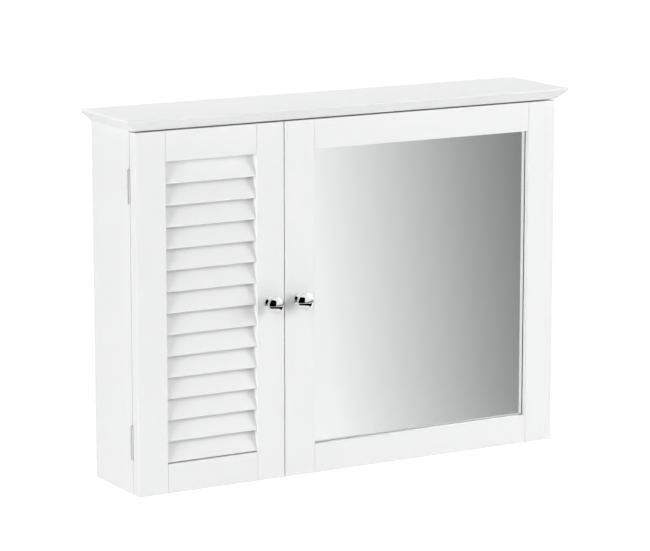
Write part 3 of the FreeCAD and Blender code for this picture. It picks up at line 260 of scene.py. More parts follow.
def hardboard(name, white_before):
    """Hardboard that is white where Y is under white_before, in metres."""
    material, tree, shader = new_material(name)
    place = add(tree, "ShaderNodeTexCoord").outputs["Object"]
    clouds = add(tree, "ShaderNodeTexNoise",
                 {"Vector": place, "Scale": 45.0, "Detail": 8.0, "Roughness": 0.75}).outputs["Fac"]
    fibres = add(tree, "ShaderNodeTexNoise",
                 {"Vector": place, "Scale": 700.0, "Detail": 3.0, "Distortion": 2.5}).outputs["Fac"]
    mixed = math_node(tree, "ADD", math_node(tree, "MULTIPLY", clouds, CLOUD_SHARE),
                      math_node(tree, "MULTIPLY", fibres, FIBRE_SHARE))
    brown = colour_mix(tree, value_range(tree, mixed, *BROWN_CONTRAST), FIBRE_DARK, FIBRE_LIGHT)
    along = add(tree, "ShaderNodeSeparateXYZ", {"Vector": place}).outputs
    white = math_node(tree, "LESS_THAN", along["Y"], white_before)
    tree.links.new(colour_mix(tree, white, brown, PANEL_WHITE), shader.inputs["Base Color"])
    tree.links.new(value_range(tree, white, RAW_ROUGHNESS, WHITE_ROUGHNESS), shader.inputs["Roughness"])
    waves = [math_node(tree, "SINE", math_node(tree, "MULTIPLY", along[axis], SCREEN_WAVES)) for axis in "XZ"]
    screen = math_node(tree, "MULTIPLY", *waves)
    raw = math_node(tree, "SUBTRACT", 1.0, white)
    pressed = math_node(tree, "MULTIPLY", math_node(tree, "ADD", screen, fibres), raw)
    bump(tree, shader, pressed, strength=0.25, distance=0.2 * MM)
    return material


FINISHES["hardboard"] = hardboard("hardboard_panel", PANEL_MIDDLE_Y)
RAW_BOARD = hardboard("hardboard_backing", IN_FRONT_OF_ALL)
print("finishes:", FINISHES["hardboard"].name, RAW_BOARD.name)

# %% [markdown]
# The metals share the streak group. Chrome is nearly perfect, with faint smudges in its
# roughness; nickel hinges and screws are duller and carry streaks; the cast locks are grey
# and grainy.

# %% Metals
def metal(name, colour, roughness, streak_scale, stretch=(1, 1, 1), bump_strength=0.0):
    material, tree, shader = new_material(name)
    marks = use_group(tree, STREAKS, {"Scale": streak_scale, "Stretch": stretch})
    shader.inputs["Base Color"].default_value = colour
    shader.inputs["Metallic"].default_value = 1.0
    wear = math_node(tree, "MULTIPLY", marks["Streaks"], marks["Smudge"])
    tree.links.new(value_range(tree, wear, *roughness), shader.inputs["Roughness"])
    if bump_strength:
        bump(tree, shader, marks["Streaks"], bump_strength, distance=0.2 * MM)
    return material


CHROME = metal("polished_chrome", (0.82, 0.825, 0.83, 1), roughness=(0.02, 0.09), streak_scale=300.0)
NICKEL = metal("nickel_plate", (0.70, 0.695, 0.685, 1), roughness=(0.24, 0.58), streak_scale=900.0,
               stretch=(1, 1, 0.08), bump_strength=0.05)
ZINC = metal("cast_zinc", (0.42, 0.43, 0.45, 1), roughness=(0.35, 0.75), streak_scale=1500.0,
             bump_strength=0.2)
FINISHES.update(chrome=CHROME, nickel=NICKEL, zinc=ZINC)
print("metals:", CHROME.name, NICKEL.name, ZINC.name)

# %% [markdown]
# The remaining finishes are small: the catches' moulded plastic, their dark magnets, and
# the beech of the dowels. Plastic and pressed ferrite differ only in numbers, so one
# function makes both; the mirror's painted back will use it too.

# %% Plastic, magnets and dowels
BEECH_DARK = (0.36, 0.20, 0.10, 1)
BEECH_LIGHT = (0.62, 0.42, 0.24, 1)


def skinned(name, colours, peel_scale, drift_scale, roughness, bump_strength=0.0):
    """A finish that drifts between two colours under a fine skin."""
    material, tree, shader = new_material(name)
    skin = use_group(tree, PEEL, {"Peel Scale": peel_scale, "Drift Scale": drift_scale})
    tree.links.new(colour_mix(tree, skin["Drift"], *colours), shader.inputs["Base Color"])
    tree.links.new(value_range(tree, skin["Peel"], *roughness), shader.inputs["Roughness"])
    if bump_strength:
        bump(tree, shader, skin["Peel"], bump_strength, distance=0.2 * MM)
    return material


def beech():
    material, tree, shader = new_material("dowel_beech")
    place = add(tree, "ShaderNodeTexCoord").outputs["Object"]
    grain = add(tree, "ShaderNodeTexNoise",
                {"Vector": place, "Scale": 500.0, "Detail": 5.0, "Distortion": 1.0}).outputs["Fac"]
    tree.links.new(colour_mix(tree, grain, BEECH_DARK, BEECH_LIGHT), shader.inputs["Base Color"])
    tree.links.new(value_range(tree, grain, 0.55, 0.75), shader.inputs["Roughness"])
    bump(tree, shader, grain, strength=0.2, distance=0.2 * MM)
    return material


FINISHES["white_plastic"] = skinned(
    "catch_plastic", [(0.80, 0.80, 0.79, 1), (0.76, 0.76, 0.75, 1)],
    peel_scale=1800.0, drift_scale=60.0, roughness=(0.28, 0.42), bump_strength=0.1)
FINISHES["ferrite"] = skinned(
    "pressed_ferrite", [(0.02, 0.02, 0.021, 1), (0.05, 0.05, 0.05, 1)],
    peel_scale=2500.0, drift_scale=200.0, roughness=(0.5, 0.8), bump_strength=0.3)
FINISHES["beech"] = beech()
print("finishes:", sorted(FINISHES))

# %% [markdown]
# ## Finishes on the model's own pieces
# The record names a material slot for every node, so a loop can dress them all. Most of
# them are remade below with finer edges, and the others stay as they are here. Only the
# mirror has no finish yet: it is built as a sheet of its own.

# %% Put the finishes on the model's own pieces
for name, piece in NODES.items():
    finish = RAW_BOARD if name == "mirror_backing" else FINISHES.get(SLOT_OF[name])
    if finish:
        for material_slot in piece.material_slots:
            material_slot.material = finish
print("without a finish:", [name for name, slot in SLOT_OF.items() if slot not in FINISHES])

# %% [markdown]
# ## Remaking a piece
# A remade piece starts as a copy of the model's own mesh. That mesh is loose triangles, so
# they are welded, and flat ones are dissolved into whole faces, which gives clean corners
# to work on. The result rides on the same body as the node that it replaces. A Weighted
# Normal modifier keeps its broad faces flat in the light.

# %% Remake a piece
WELD = 1e-6
FLAT_DEGREES = 0.5
SHARP_DEGREES = 35


def welded_copy(node):
    """The shape of a model node with its triangles joined into whole faces."""
    shape = bmesh.new()
    shape.from_mesh(NODES[node].data)
    bmesh.ops.remove_doubles(shape, verts=shape.verts[:], dist=WELD)
    bmesh.ops.dissolve_limit(shape, angle_limit=math.radians(FLAT_DEGREES),
                             verts=shape.verts[:], edges=shape.edges[:])
    return shape


def smooth_mesh(name, shape, finish, sharp_degrees=SHARP_DEGREES):
    """Turns a shape into a mesh that is smooth but for its sharp corners."""
    mesh = bpy.data.meshes.new(name)
    shape.to_mesh(mesh)
    shape.free()
    mesh.shade_smooth()
    mesh.set_sharp_from_angle(angle=math.radians(sharp_degrees))
    mesh.materials.append(finish)
    return mesh


def new_piece(name, mesh, body, slot, *replaced):
    """Links a finished mesh into the scene, on its body and in place of what it replaces."""
    piece = bpy.data.objects.new(name, mesh)
    scene.collection.objects.link(piece)
    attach(piece, body)
    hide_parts(*replaced)
    return piece


def remade(prefix, node, shape):
    """The piece that takes a node's place, with its finish and with flat faces."""
    name = prefix + node
    mesh = smooth_mesh(name, shape, FINISHES[SLOT_OF[node]])
    piece = new_piece(name, mesh, BODY_OF[node], SLOT_OF[node], node)
    flat = piece.modifiers.new("flat_faces", "WEIGHTED_NORMAL")
    flat.keep_sharp = True
    print(name, len(mesh.polygons), "faces")


sample = welded_copy("left_side_panel")
print("left_side_panel:", len(NODES["left_side_panel"].data.polygons), "triangles welded into",
      len(sample.faces), "faces")
sample.free()

# %% [markdown]
# ## Eased edges
# A joiner rubs the sharp corners off every board before it is sprayed, and paint wraps
# round them. Those narrow rounded edges catch the light and draw the seams of the doors.
# A Bevel modifier could round every corner alike, but it would also chew the small slots
# and holes. So only long outward corners are bevelled: generously on the doors' fronts,
# less where the doors meet and least elsewhere. The rails' faces stop a hair short of the
# stiles, where the paint of such doors cracks.

# %% Eased boards
DOOR_FRONT_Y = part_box("louvre_top_rail")[0].y
CORNER_ANGLE = math.radians(40)
FRONT_EASE = 1.4 * MM
MEETING_EASE = 0.7 * MM
BOARD_EASE = 0.5 * MM
BOARD_CORNER = 10 * MM
SEAM = 0.25 * MM
TOUCH = 1e-5


def long_corners(shape, shortest):
    """The outward corners of a shape that are straight for at least the given length."""
    return [edge for edge in shape.edges
            if edge.is_manifold and edge.is_convex and edge.calc_length() > shortest
            and edge.calc_face_angle() > CORNER_ANGLE]


def ease(shape, corners, width):
    bmesh.ops.bevel(shape, geom=corners, offset=width, segments=3, profile=0.5, affect="EDGES",
                    clamp_overlap=False)


def on_front(vertex):
    return abs(vertex.co.y - DOOR_FRONT_Y) < TOUCH


def open_seams(shape):
    """Lets the face of a rail stop a hair short of the stiles."""
    face = [vertex for vertex in shape.verts if on_front(vertex)]
    left = min(vertex.co.x for vertex in face)
    right = max(vertex.co.x for vertex in face)
    for vertex in face:
        if vertex.co.x - left < TOUCH:
            vertex.co.x += SEAM
        elif right - vertex.co.x < TOUCH:
            vertex.co.x -= SEAM


def ease_board(node):
    shape = welded_copy(node)
    fronts = [edge for edge in long_corners(shape, BOARD_CORNER)
              if all(on_front(vertex) for vertex in edge.verts)]
    if fronts and "rail" in node:
        open_seams(shape)
    if fronts:
        ease(shape, fronts, MEETING_EASE if "lock_stile" in node else FRONT_EASE)
    ease(shape, long_corners(shape, BOARD_CORNER), BOARD_EASE)
    remade("eased_", node, shape)


for node, slot in SLOT_OF.items():
    if slot == "white_lacquer" and "slat" not in node and node not in ("mirror_beads", "top_board"):
        ease_board(node)

# %% [markdown]
# ## Hardware with soft corners
# Hinge leaves are rolled from sheet, pins are drawn and catches are moulded, so none of
# them has a knife edge. The model's own shapes are right; they only need smooth light on
# their barrels and a hair of roundness on their straight corners, so the same welding and
# bevelling as for the boards does it, at a fraction of the size.

# %% Hardware
HARDWARE_EASE = 0.12 * MM
HARDWARE_CORNER = 5 * MM
HARDWARE = ("left_hinge_frame_leaves", "right_hinge_frame_leaves", "louvre_hinge_leaves",
            "mirror_hinge_leaves", "hinge_pins", "left_shelf_pins", "right_shelf_pins",
            "louvre_strike_plate", "mirror_strike_plate", "left_catch_housing", "right_catch_housing",
            "catch_pole_plates", "catch_magnets", "cam_locks")

for node in HARDWARE:
    shape = welded_copy(node)
    ease(shape, long_corners(shape, HARDWARE_CORNER), HARDWARE_EASE)
    remade("softened_", node, shape)

# %% [markdown]
# ## The louvre slats
# Fourteen equal slats fill the left door. Each is a strip with both long edges rounded over,
# leaning so that its front edge is the lower one. One could be drawn and copied by hand, but
# a rule is easier to change: a Geometry Nodes tree rounds a rectangle, leans it, pulls it
# along the door and repeats it at an even pitch.

# %% Slat tree
ALMOST_HALF = 0.499


def new_geometry_tree(name, inputs, output):
    """An empty Geometry Nodes tree with named inputs; returns it with its two ends."""
    tree = bpy.data.node_groups.new(name, "GeometryNodeTree")
    for socket_name, kind in inputs:
        tree.interface.new_socket(socket_name, in_out="INPUT", socket_type="NodeSocket" + kind)
    tree.interface.new_socket(output, in_out="OUTPUT", socket_type="NodeSocketGeometry")
    given = tree.nodes.new("NodeGroupInput").outputs
    made = tree.nodes.new("NodeGroupOutput").inputs
    return tree, given, made


def make_slat_tree():
    tree, given, made = new_geometry_tree("leaning_slats", (
        ("Start", "Geometry"), ("Length", "Float"), ("Width", "Float"), ("Thickness", "Float"),
        ("Lean", "Float"), ("Pitch", "Float"), ("Count", "Int"), ("Nose Steps", "Int"),
        ("Finish", "Material")), "Slats")

    def step(kind, inputs, **properties):
        return add(tree, "GeometryNode" + kind, inputs, **properties).outputs[0]

    strip = step("CurvePrimitiveQuadrilateral", {"Width": given["Width"], "Height": given["Thickness"]})
    radius = math_node(tree, "MULTIPLY", given["Thickness"], ALMOST_HALF)
    nose = step("FilletCurve", {"Curve": strip, "Count": given["Nose Steps"], "Limit Radius": True,
                                "Radius": radius}, mode="POLY")
    leaning = step("Transform", {"Geometry": nose, "Rotation": vector(tree, Z=given["Lean"])})
    path = step("CurvePrimitiveLine", {"End": vector(tree, X=given["Length"])})
    slat = step("CurveToMesh", {"Curve": path, "Profile Curve": leaning, "Fill Caps": True})
    levels = step("MeshLine", {"Count": given["Count"], "Offset": vector(tree, Z=given["Pitch"])})
    ladder = step("InstanceOnPoints", {"Points": levels, "Instance": slat})
    placed = step("InstanceOnPoints", {"Points": given["Start"], "Instance": ladder})
    solid = step("RealizeInstances", {"Geometry": placed})
    finished = step("SetMaterial", {"Geometry": solid, "Material": given["Finish"]})
    tree.links.new(finished, made["Slats"])
    return tree


SLAT_TREE = make_slat_tree()
print("slat tree:", len(SLAT_TREE.nodes), "nodes")

# %% [markdown]
# A tree works on an object through a modifier. Here that object is only a holder for points:
# the modifier's inputs are set by their sockets' identifiers, the result is copied into a
# plain mesh, and the holder goes away again. The slats' sizes are measured on the model.
# The screws further on use the same helper.

# %% Slats
SLAT_THICKNESS = 3.5 * MM
NOSE_STEPS = 12
SLATS = sorted(name for name in NODES if name.startswith("louvre_slat_"))


def grown_mesh(name, points, tree, values):
    """The plain mesh that a tree makes of a mesh of points."""
    holder = bpy.data.objects.new(name + "_places", points)
    scene.collection.objects.link(holder)
    modifier = holder.modifiers.new(tree.name, "NODES")
    modifier.node_group = tree
    for socket in tree.interface.items_tree:
        if socket.name in values:
            modifier[socket.identifier] = values[socket.name]
    bpy.context.view_layer.update()
    mesh = bpy.data.meshes.new_from_object(holder.evaluated_get(bpy.context.evaluated_depsgraph_get()))
    bpy.data.objects.remove(holder)
    mesh.name = name
    mesh.materials.clear()
    mesh.materials.append(values["Finish"])
    mesh.polygons.foreach_set("material_index", [0] * len(mesh.polygons))
    mesh.shade_smooth()
    mesh.set_sharp_from_angle(angle=math.radians(SHARP_DEGREES))
    return mesh


def make_slats():
    low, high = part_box(SLATS[0])
    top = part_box(SLATS[-1])[1].z
    run = high.y - low.y - SLAT_THICKNESS
    rise = high.z - low.z - SLAT_THICKNESS
    start = bpy.data.meshes.new("slat_start")
    start.from_pydata([(low.x, (low.y + high.y) / 2, (low.z + high.z) / 2)], [], [])
    mesh = grown_mesh("louvre_slats", start, SLAT_TREE, {
        "Length": high.x - low.x, "Width": math.hypot(run, rise) + SLAT_THICKNESS,
        "Thickness": SLAT_THICKNESS, "Lean": math.atan2(rise, run),
        "Pitch": (top - high.z) / (len(SLATS) - 1), "Count": len(SLATS),
        "Nose Steps": NOSE_STEPS, "Finish": FINISHES["white_lacquer"]})
    return new_piece("louvre_slats", mesh, "louvre_door", "white_lacquer", *SLATS)


slats = make_slats()
print(slats.name, len(slats.data.polygons), "faces, lowest and highest:",
      [round(pick(vertex.co.z for vertex in slats.data.vertices), 4) for pick in (min, max)])

# %% [markdown]
# ## The mirror
# A mirror is a sheet of glass with silver on its back, so its picture lies a sheet's
# thickness behind its face. That is why a thin dark line runs between the door frame and
# the frame's own reflection. A plain shiny plane would miss it, so the sheet is built for
# real, with glass on every face but the back and silver there. Behind it lies the painted
# film that keeps a broken bathroom mirror together.

# %% Mirror finishes
SILVER = (0.94, 0.95, 0.945, 1)
SILVER_ROUGHNESS = (0.0, 0.006)
GLASS = (0.99, 1.0, 0.995, 1)
GLASS_IOR = 1.5


def mirror_silver():
    material, tree, shader = new_material("mirror_silver")
    shader.inputs["Base Color"].default_value = SILVER
    shader.inputs["Metallic"].default_value = 1.0
    marks = use_group(tree, STREAKS, {"Scale": 60.0, "Stretch": (1, 1, 1)})
    tree.links.new(value_range(tree, marks["Smudge"], *SILVER_ROUGHNESS), shader.inputs["Roughness"])
    return material


def mirror_glass():
    material, tree, shader = new_material("mirror_glass")
    shader.inputs["Base Color"].default_value = GLASS
    shader.inputs["Transmission Weight"].default_value = 1.0
    shader.inputs["Roughness"].default_value = 0.0
    shader.inputs["IOR"].default_value = GLASS_IOR
    return material


FILM_PAINT = skinned("film_paint", [(0.20, 0.205, 0.21, 1), (0.26, 0.265, 0.27, 1)],
                     peel_scale=900.0, drift_scale=25.0, roughness=(0.5, 0.65))
MIRROR_FINISHES = (mirror_glass(), mirror_silver(), FILM_PAINT)
GLASS_SIDE, SILVER_SIDE, FILM_SIDE = range(3)
print("mirror finishes:", [finish.name for finish in MIRROR_FINISHES])

# %% [markdown]
# The sheet fills the place of the model's mirror. It is two slabs with ground edges, the
# glass and the film, a hair apart: two faces in one plane would flicker or turn black.

# %% Mirror sheet
GLASS_THICKNESS = 2.0 * MM
FILM_GAP = 0.05 * MM
EDGE_GRIND = 0.4 * MM
STRAIGHT_BACK = 0.99


def add_slab(shape, low, high, edge_grind):
    """Adds a box with ground edges and returns its faces."""
    before = set(shape.faces)
    corners = bmesh.ops.create_cube(shape, size=1.0)["verts"]
    for vertex in corners:
        vertex.co = Vector(a + (b - a) * (c + 0.5) for a, b, c in zip(low, high, vertex.co))
    edges = list(dict.fromkeys(edge for vertex in corners for edge in vertex.link_edges))
    bmesh.ops.bevel(shape, geom=edges, offset=edge_grind, segments=1, affect="EDGES")
    shape.normal_update()
    return [face for face in shape.faces if face not in before]


def make_mirror():
    low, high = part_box("mirror_glass")
    silver_y = low.y + GLASS_THICKNESS
    shape = bmesh.new()
    for face in add_slab(shape, low, Vector((high.x, silver_y, high.z)), EDGE_GRIND):
        face.material_index = SILVER_SIDE if face.normal.y > STRAIGHT_BACK else GLASS_SIDE
    film_low = Vector((low.x, silver_y + FILM_GAP, low.z))
    film_high = Vector((high.x, high.y - FILM_GAP, high.z))
    for face in add_slab(shape, film_low, film_high, EDGE_GRIND / 2):
        face.material_index = FILM_SIDE
    mesh = bpy.data.meshes.new("mirror_sheet")
    shape.to_mesh(mesh)
    shape.free()
    for finish in MIRROR_FINISHES:
        mesh.materials.append(finish)
    return new_piece("mirror_sheet", mesh, "mirror_door", "mirror", "mirror_glass")


MIRROR = make_mirror()
print("mirror faces:", len(MIRROR.data.polygons))

# %% [markdown]
# ## The knobs
# Chrome shows every facet, so the two turned knobs get a finer mesh than the model's.
# A lathe in Blender is a spin: draw half of the outline, then sweep it round the axis.
# First come two helpers for the outline: one softens its corners with small arcs, as a
# buffing wheel would, and one draws the crown of the head.

# %% Knob outline
ARC_STEPS = 6
DOME_STEPS = 14


def softened(corners, radii):
    """Points along an outline whose corners are replaced by arcs of the given radii."""
    points = []
    for index, (corner, radius) in enumerate(zip(corners, radii)):
        here = Vector(corner)
        if not radius:
            points.append(here)
            continue
        before = (Vector(corners[index - 1]) - here).normalized()
        after = (Vector(corners[index + 1]) - here).normalized()
        half = before.angle(after) / 2
        centre = here + (before + after).normalized() * radius / math.sin(half)
        start = here + before * radius / math.tan(half) - centre
        end = here + after * radius / math.tan(half) - centre
        sweep = start.angle_signed(end)
        for step in range(ARC_STEPS + 1):
            turn = -sweep * step / ARC_STEPS
            cosine, sine = math.cos(turn), math.sin(turn)
            spoke = Vector((start.x * cosine - start.y * sine, start.x * sine + start.y * cosine))
            points.append(centre + spoke)
    return points


def dome(rim_radius, rim_height, tip_height):
    """The crown of the knob's head: an arc that meets the axis squarely."""
    rise = tip_height - rim_height
    radius = (rim_radius ** 2 + rise ** 2) / (2 * rise)
    start = math.asin(rim_radius / radius)
    angles = [start * (1 - step / DOME_STEPS) for step in range(1, DOME_STEPS + 1)]
    return [Vector((radius * math.sin(a), tip_height - radius * (1 - math.cos(a)))) for a in angles]


print("a corner of the outline becomes", ARC_STEPS + 1, "points, the crown", DOME_STEPS)

# %% [markdown]
# The head's width and the knob's reach are measured on the model. The foot, the neck and
# the flare between them are given here in millimetres, from the door outwards.

# %% Turned knobs
KNOB_SEGMENTS = 96
KNOB_SHARP_DEGREES = 50
FOOT_RADIUS, FOOT_HEIGHT = 8.5, 1.0
NECK_RADIUS, NECK_START, NECK_END = 4.5, 4.6, 9.6
HEAD_START, CROWN_HEIGHT = 13.6, 6.0
KNOB_RADII = (0, 0, 0.6, 3.0, 3.0, 1.3, 0)


def make_knob(node):
    low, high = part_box(node)
    head = (high.x - low.x) / 2 / MM
    reach = (high.y - low.y) / MM
    centre = Vector(((low.x + high.x) / 2, high.y, (low.z + high.z) / 2))
    crown_start = reach - CROWN_HEIGHT
    corners = [(0.0, 0.0), (FOOT_RADIUS, 0.0), (FOOT_RADIUS, FOOT_HEIGHT), (NECK_RADIUS, NECK_START),
               (NECK_RADIUS, NECK_END), (head, HEAD_START), (head, crown_start)]
    outline = softened(corners, KNOB_RADII) + dome(head, crown_start, reach)
    shape = bmesh.new()
    verts = [shape.verts.new(centre + Vector((p.x, -p.y, 0)) * MM) for p in outline]
    edges = [shape.edges.new(pair) for pair in zip(verts, verts[1:])]
    bmesh.ops.spin(shape, geom=verts + edges, cent=centre, axis=(0, 1, 0), angle=2 * math.pi,
                   steps=KNOB_SEGMENTS, use_merge=True)
    bmesh.ops.remove_doubles(shape, verts=shape.verts[:], dist=WELD)
    bmesh.ops.recalc_face_normals(shape, faces=shape.faces[:])
    mesh = smooth_mesh("turned_" + node, shape, CHROME, KNOB_SHARP_DEGREES)
    return new_piece("turned_" + node, mesh, BODY_OF[node], SLOT_OF[node], node)


for node in ("louvre_knob", "mirror_knob"):
    knob = make_knob(node)
    print(knob.name, len(knob.data.polygons), "faces")

# %% [markdown]
# ## Screws
# All the screws have a head with a cross recess, a shank and a point, so one Geometry
# Nodes tree can make them: it builds a screw from named sizes, then sets a copy on every
# point, turned to face the way the point says and by a random angle about its own axis,
# as screws end up when driven by hand. Pan heads are wider at the neck than on the face;
# countersunk heads are the other way round, so the same cone serves for both.

# %% Screw tree
SCREW_SIZES = ("Face Diameter", "Neck Diameter", "Head Height", "Shank Diameter", "Tip Diameter",
               "Tip Length", "Length", "Recess Span", "Recess Width", "Recess Depth")
HEAD_SIDES, SHANK_SIDES = 32, 24
SPIN_SEED = 7


def make_screw_tree():
    sizes = [(name, "Float") for name in SCREW_SIZES]
    tree, given, made = new_geometry_tree(
        "driven_screws", [("Places", "Geometry"), *sizes, ("Finish", "Material")], "Screws")

    def cone(top, bottom, height, foot, sides):
        """A truncated cone that stands at the level foot."""
        solid = add(tree, "GeometryNodeMeshCone",
                    {"Vertices": sides, "Radius Top": math_node(tree, "MULTIPLY", top, 0.5),
                     "Radius Bottom": math_node(tree, "MULTIPLY", bottom, 0.5), "Depth": height})
        place = {"Geometry": solid.outputs["Mesh"], "Translation": vector(tree, Z=foot)}
        return add(tree, "GeometryNodeTransform", place).outputs[0]

    def bar(across, along):
        """One bar of the cross, half of it above the head's face."""
        height = math_node(tree, "MULTIPLY", given["Recess Depth"], 2.0)
        size = vector(tree, X=across, Y=along, Z=height)
        return add(tree, "GeometryNodeMeshCube", {"Size": size}).outputs["Mesh"]

    neck = math_node(tree, "MULTIPLY", given["Head Height"], -1.0)
    end = math_node(tree, "MULTIPLY", given["Length"], -1.0)
    tip = math_node(tree, "ADD", end, given["Tip Length"])
    shank_height = math_node(tree, "SUBTRACT", math_node(tree, "MULTIPLY", neck, 0.5), tip)
    head = cone(given["Face Diameter"], given["Neck Diameter"], given["Head Height"], neck, HEAD_SIDES)
    shank = cone(given["Shank Diameter"], given["Shank Diameter"], shank_height, tip, SHANK_SIDES)
    point = cone(given["Shank Diameter"], given["Tip Diameter"], given["Tip Length"], end, SHANK_SIDES)
    body = add(tree, "GeometryNodeMeshBoolean", operation="UNION", solver="MANIFOLD")
    for solid in (head, shank, point):
        tree.links.new(solid, body.inputs["Mesh 2"])
    screw = add(tree, "GeometryNodeMeshBoolean", {"Mesh 1": body.outputs["Mesh"]},
                operation="DIFFERENCE", solver="MANIFOLD")
    for across, along in (("Recess Span", "Recess Width"), ("Recess Width", "Recess Span")):
        tree.links.new(bar(given[across], given[along]), screw.inputs["Mesh 2"])

    facing = add(tree, "GeometryNodeInputNamedAttribute", {"Name": "facing"}, data_type="FLOAT_VECTOR")
    turn = add(tree, "FunctionNodeAlignRotationToVector", {"Vector": facing.outputs[0]}, axis="Z")
    copies = add(tree, "GeometryNodeInstanceOnPoints",
                 {"Points": given["Places"], "Instance": screw.outputs["Mesh"], "Rotation": turn.outputs[0]})
    spin = add(tree, "FunctionNodeRandomValue", {2: 0.0, 3: math.pi, 8: SPIN_SEED}, data_type="FLOAT")
    angle = vector(tree, Z=spin.outputs[1])
    driven = add(tree, "GeometryNodeRotateInstances", {"Instances": copies.outputs[0], "Rotation": angle})
    solid = add(tree, "GeometryNodeRealizeInstances", {"Geometry": driven.outputs[0]})
    finished = add(tree, "GeometryNodeSetMaterial",
                   {"Geometry": solid.outputs[0], "Material": given["Finish"]})
    tree.links.new(finished.outputs[0], made["Screws"])
    return tree


SCREW_TREE = make_screw_tree()
print("screw tree:", len(SCREW_TREE.nodes), "nodes")

# %% [markdown]
# The model says where each screw sits. Its solids are joined triangles, so the script
# welds them, walks over each one, and finds the end that is wider: that is the head.
# The walk starts anywhere, so the screws are sorted by place afterwards: each then gets
# the same random turn in every run.

# %% Find the screws of the model
def loose_solids(shape):
    """The vertices of a shape, one list for each solid in it."""
    waiting = set(shape.verts)
    while waiting:
        solid = [waiting.pop()]
        for vertex in solid:
            near = {edge.other_vert(vertex) for edge in vertex.link_edges} & waiting
            waiting -= near
            solid.extend(near)
        yield solid


def screw_places(node):
    """For each screw of a node: the middle of its head, the way it faces, its length and head width."""
    shape = bmesh.new()
    shape.from_mesh(NODES[node].data)
    shape.transform(NODES[node].matrix_world)
    bmesh.ops.remove_doubles(shape, verts=shape.verts[:], dist=WELD)
    places = []
    for solid in loose_solids(shape):
        low = Vector([min(v.co[axis] for v in solid) for axis in range(3)])
        high = Vector([max(v.co[axis] for v in solid) for axis in range(3)])
        size = high - low
        along = max(range(3), key=lambda axis: size[axis])
        middle = (low + high) / 2
        wide = {}
        for end in (low[along], high[along]):
            ring = [v.co - middle for v in solid if abs(v.co[along] - end) < TOUCH]
            for offset in ring:
                offset[along] = 0
            wide[end] = 2 * max(offset.length for offset in ring)
        head = max(wide, key=wide.get)
        facing = Vector((0, 0, 0))
        facing[along] = 1 if head == high[along] else -1
        middle[along] = head
        places.append((middle, facing, size[along], wide[head]))
    shape.free()
    return sorted(places, key=lambda place: [round(value, 4) for value in place[0]])


print("door screws found:", len(screw_places("louvre_door_screws")))

# %% [markdown]
# Each row below names a screw piece, the node whose screws it replaces, its finish and its
# sizes. Length and head width come from the model, unless a row gives its own.

# %% Drive the screws
WOOD_SCREW = {"Neck Diameter": 2.6 * MM, "Head Height": 1.0 * MM, "Shank Diameter": 2.6 * MM,
              "Tip Diameter": 0.3 * MM, "Tip Length": 2.5 * MM,
              "Recess Span": 2.7 * MM, "Recess Width": 0.6 * MM, "Recess Depth": 0.7 * MM}
BACK_SCREW = {**WOOD_SCREW, "Neck Diameter": 2.2 * MM, "Shank Diameter": 2.2 * MM, "Recess Span": 2.4 * MM}
KNOB_SCREW = {"Face Diameter": 6.2 * MM, "Neck Diameter": 8.0 * MM, "Head Height": 2.0 * MM,
              "Shank Diameter": 4.0 * MM, "Tip Diameter": 3.4 * MM, "Tip Length": 0.5 * MM,
              "Recess Span": 3.8 * MM, "Recess Width": 0.9 * MM, "Recess Depth": 1.2 * MM}


def drive_screws(name, node, finish, sizes):
    places = screw_places(node)
    points = bpy.data.meshes.new(name + "_places")
    points.from_pydata([place for place, *rest in places], [], [])
    facing = points.attributes.new("facing", "FLOAT_VECTOR", "POINT")
    for item, (place, direction, *rest) in zip(facing.data, places):
        item.vector = direction
    place, direction, length, width = places[0]
    mesh = grown_mesh(name, points, SCREW_TREE,
                      {"Face Diameter": width, **sizes, "Length": length, "Finish": finish})
    new_piece(name, mesh, BODY_OF[node], SLOT_OF[node], node)
    print(name, len(places), "screws,", len(mesh.polygons), "faces")


for row in (
    ("wood_screws", "carcass_wood_screws", NICKEL, WOOD_SCREW),
    ("panel_screws", "back_panel_screws", ZINC, BACK_SCREW),
    ("louvre_screws", "louvre_door_screws", NICKEL, WOOD_SCREW),
    ("mirror_screws", "mirror_door_screws", NICKEL, WOOD_SCREW),
    ("louvre_pan_screw", "louvre_knob_screw", ZINC, KNOB_SCREW),
    ("mirror_pan_screw", "mirror_knob_screw", ZINC, KNOB_SCREW),
):
    drive_screws(*row)

# %% [markdown]
# ## The studio
# The cabinet hangs free, and the backdrop is a wide pale floor far below it. The camera
# should see paper white, so the floor glows for camera rays; it glows less for what the
# mirror's glass shows and least for chrome, which needs contrast. The Light Path node
# tells these rays apart. The floor's underside is clear, so that it hides nothing from
# below. The sky is white where it is seen, and only a dim fill as a light.

# %% Floor and sky
FLOOR_Z = -1.35
FLOOR_HALF = 60.0
FLOOR_PAPER = (0.86, 0.86, 0.86, 1)
WHITE = (1, 1, 1, 1)
SKY_LIGHT = 0.2
FLOOR_GLOW = 0.92
GLASS_GLOW = 0.3
CHROME_GLOW = 0.1


def flat_mesh(name, corners, material):
    """A mesh of one four-sided face."""
    mesh = bpy.data.meshes.new(name)
    mesh.from_pydata(corners, [], [(0, 1, 2, 3)])
    mesh.materials.append(material)
    return mesh


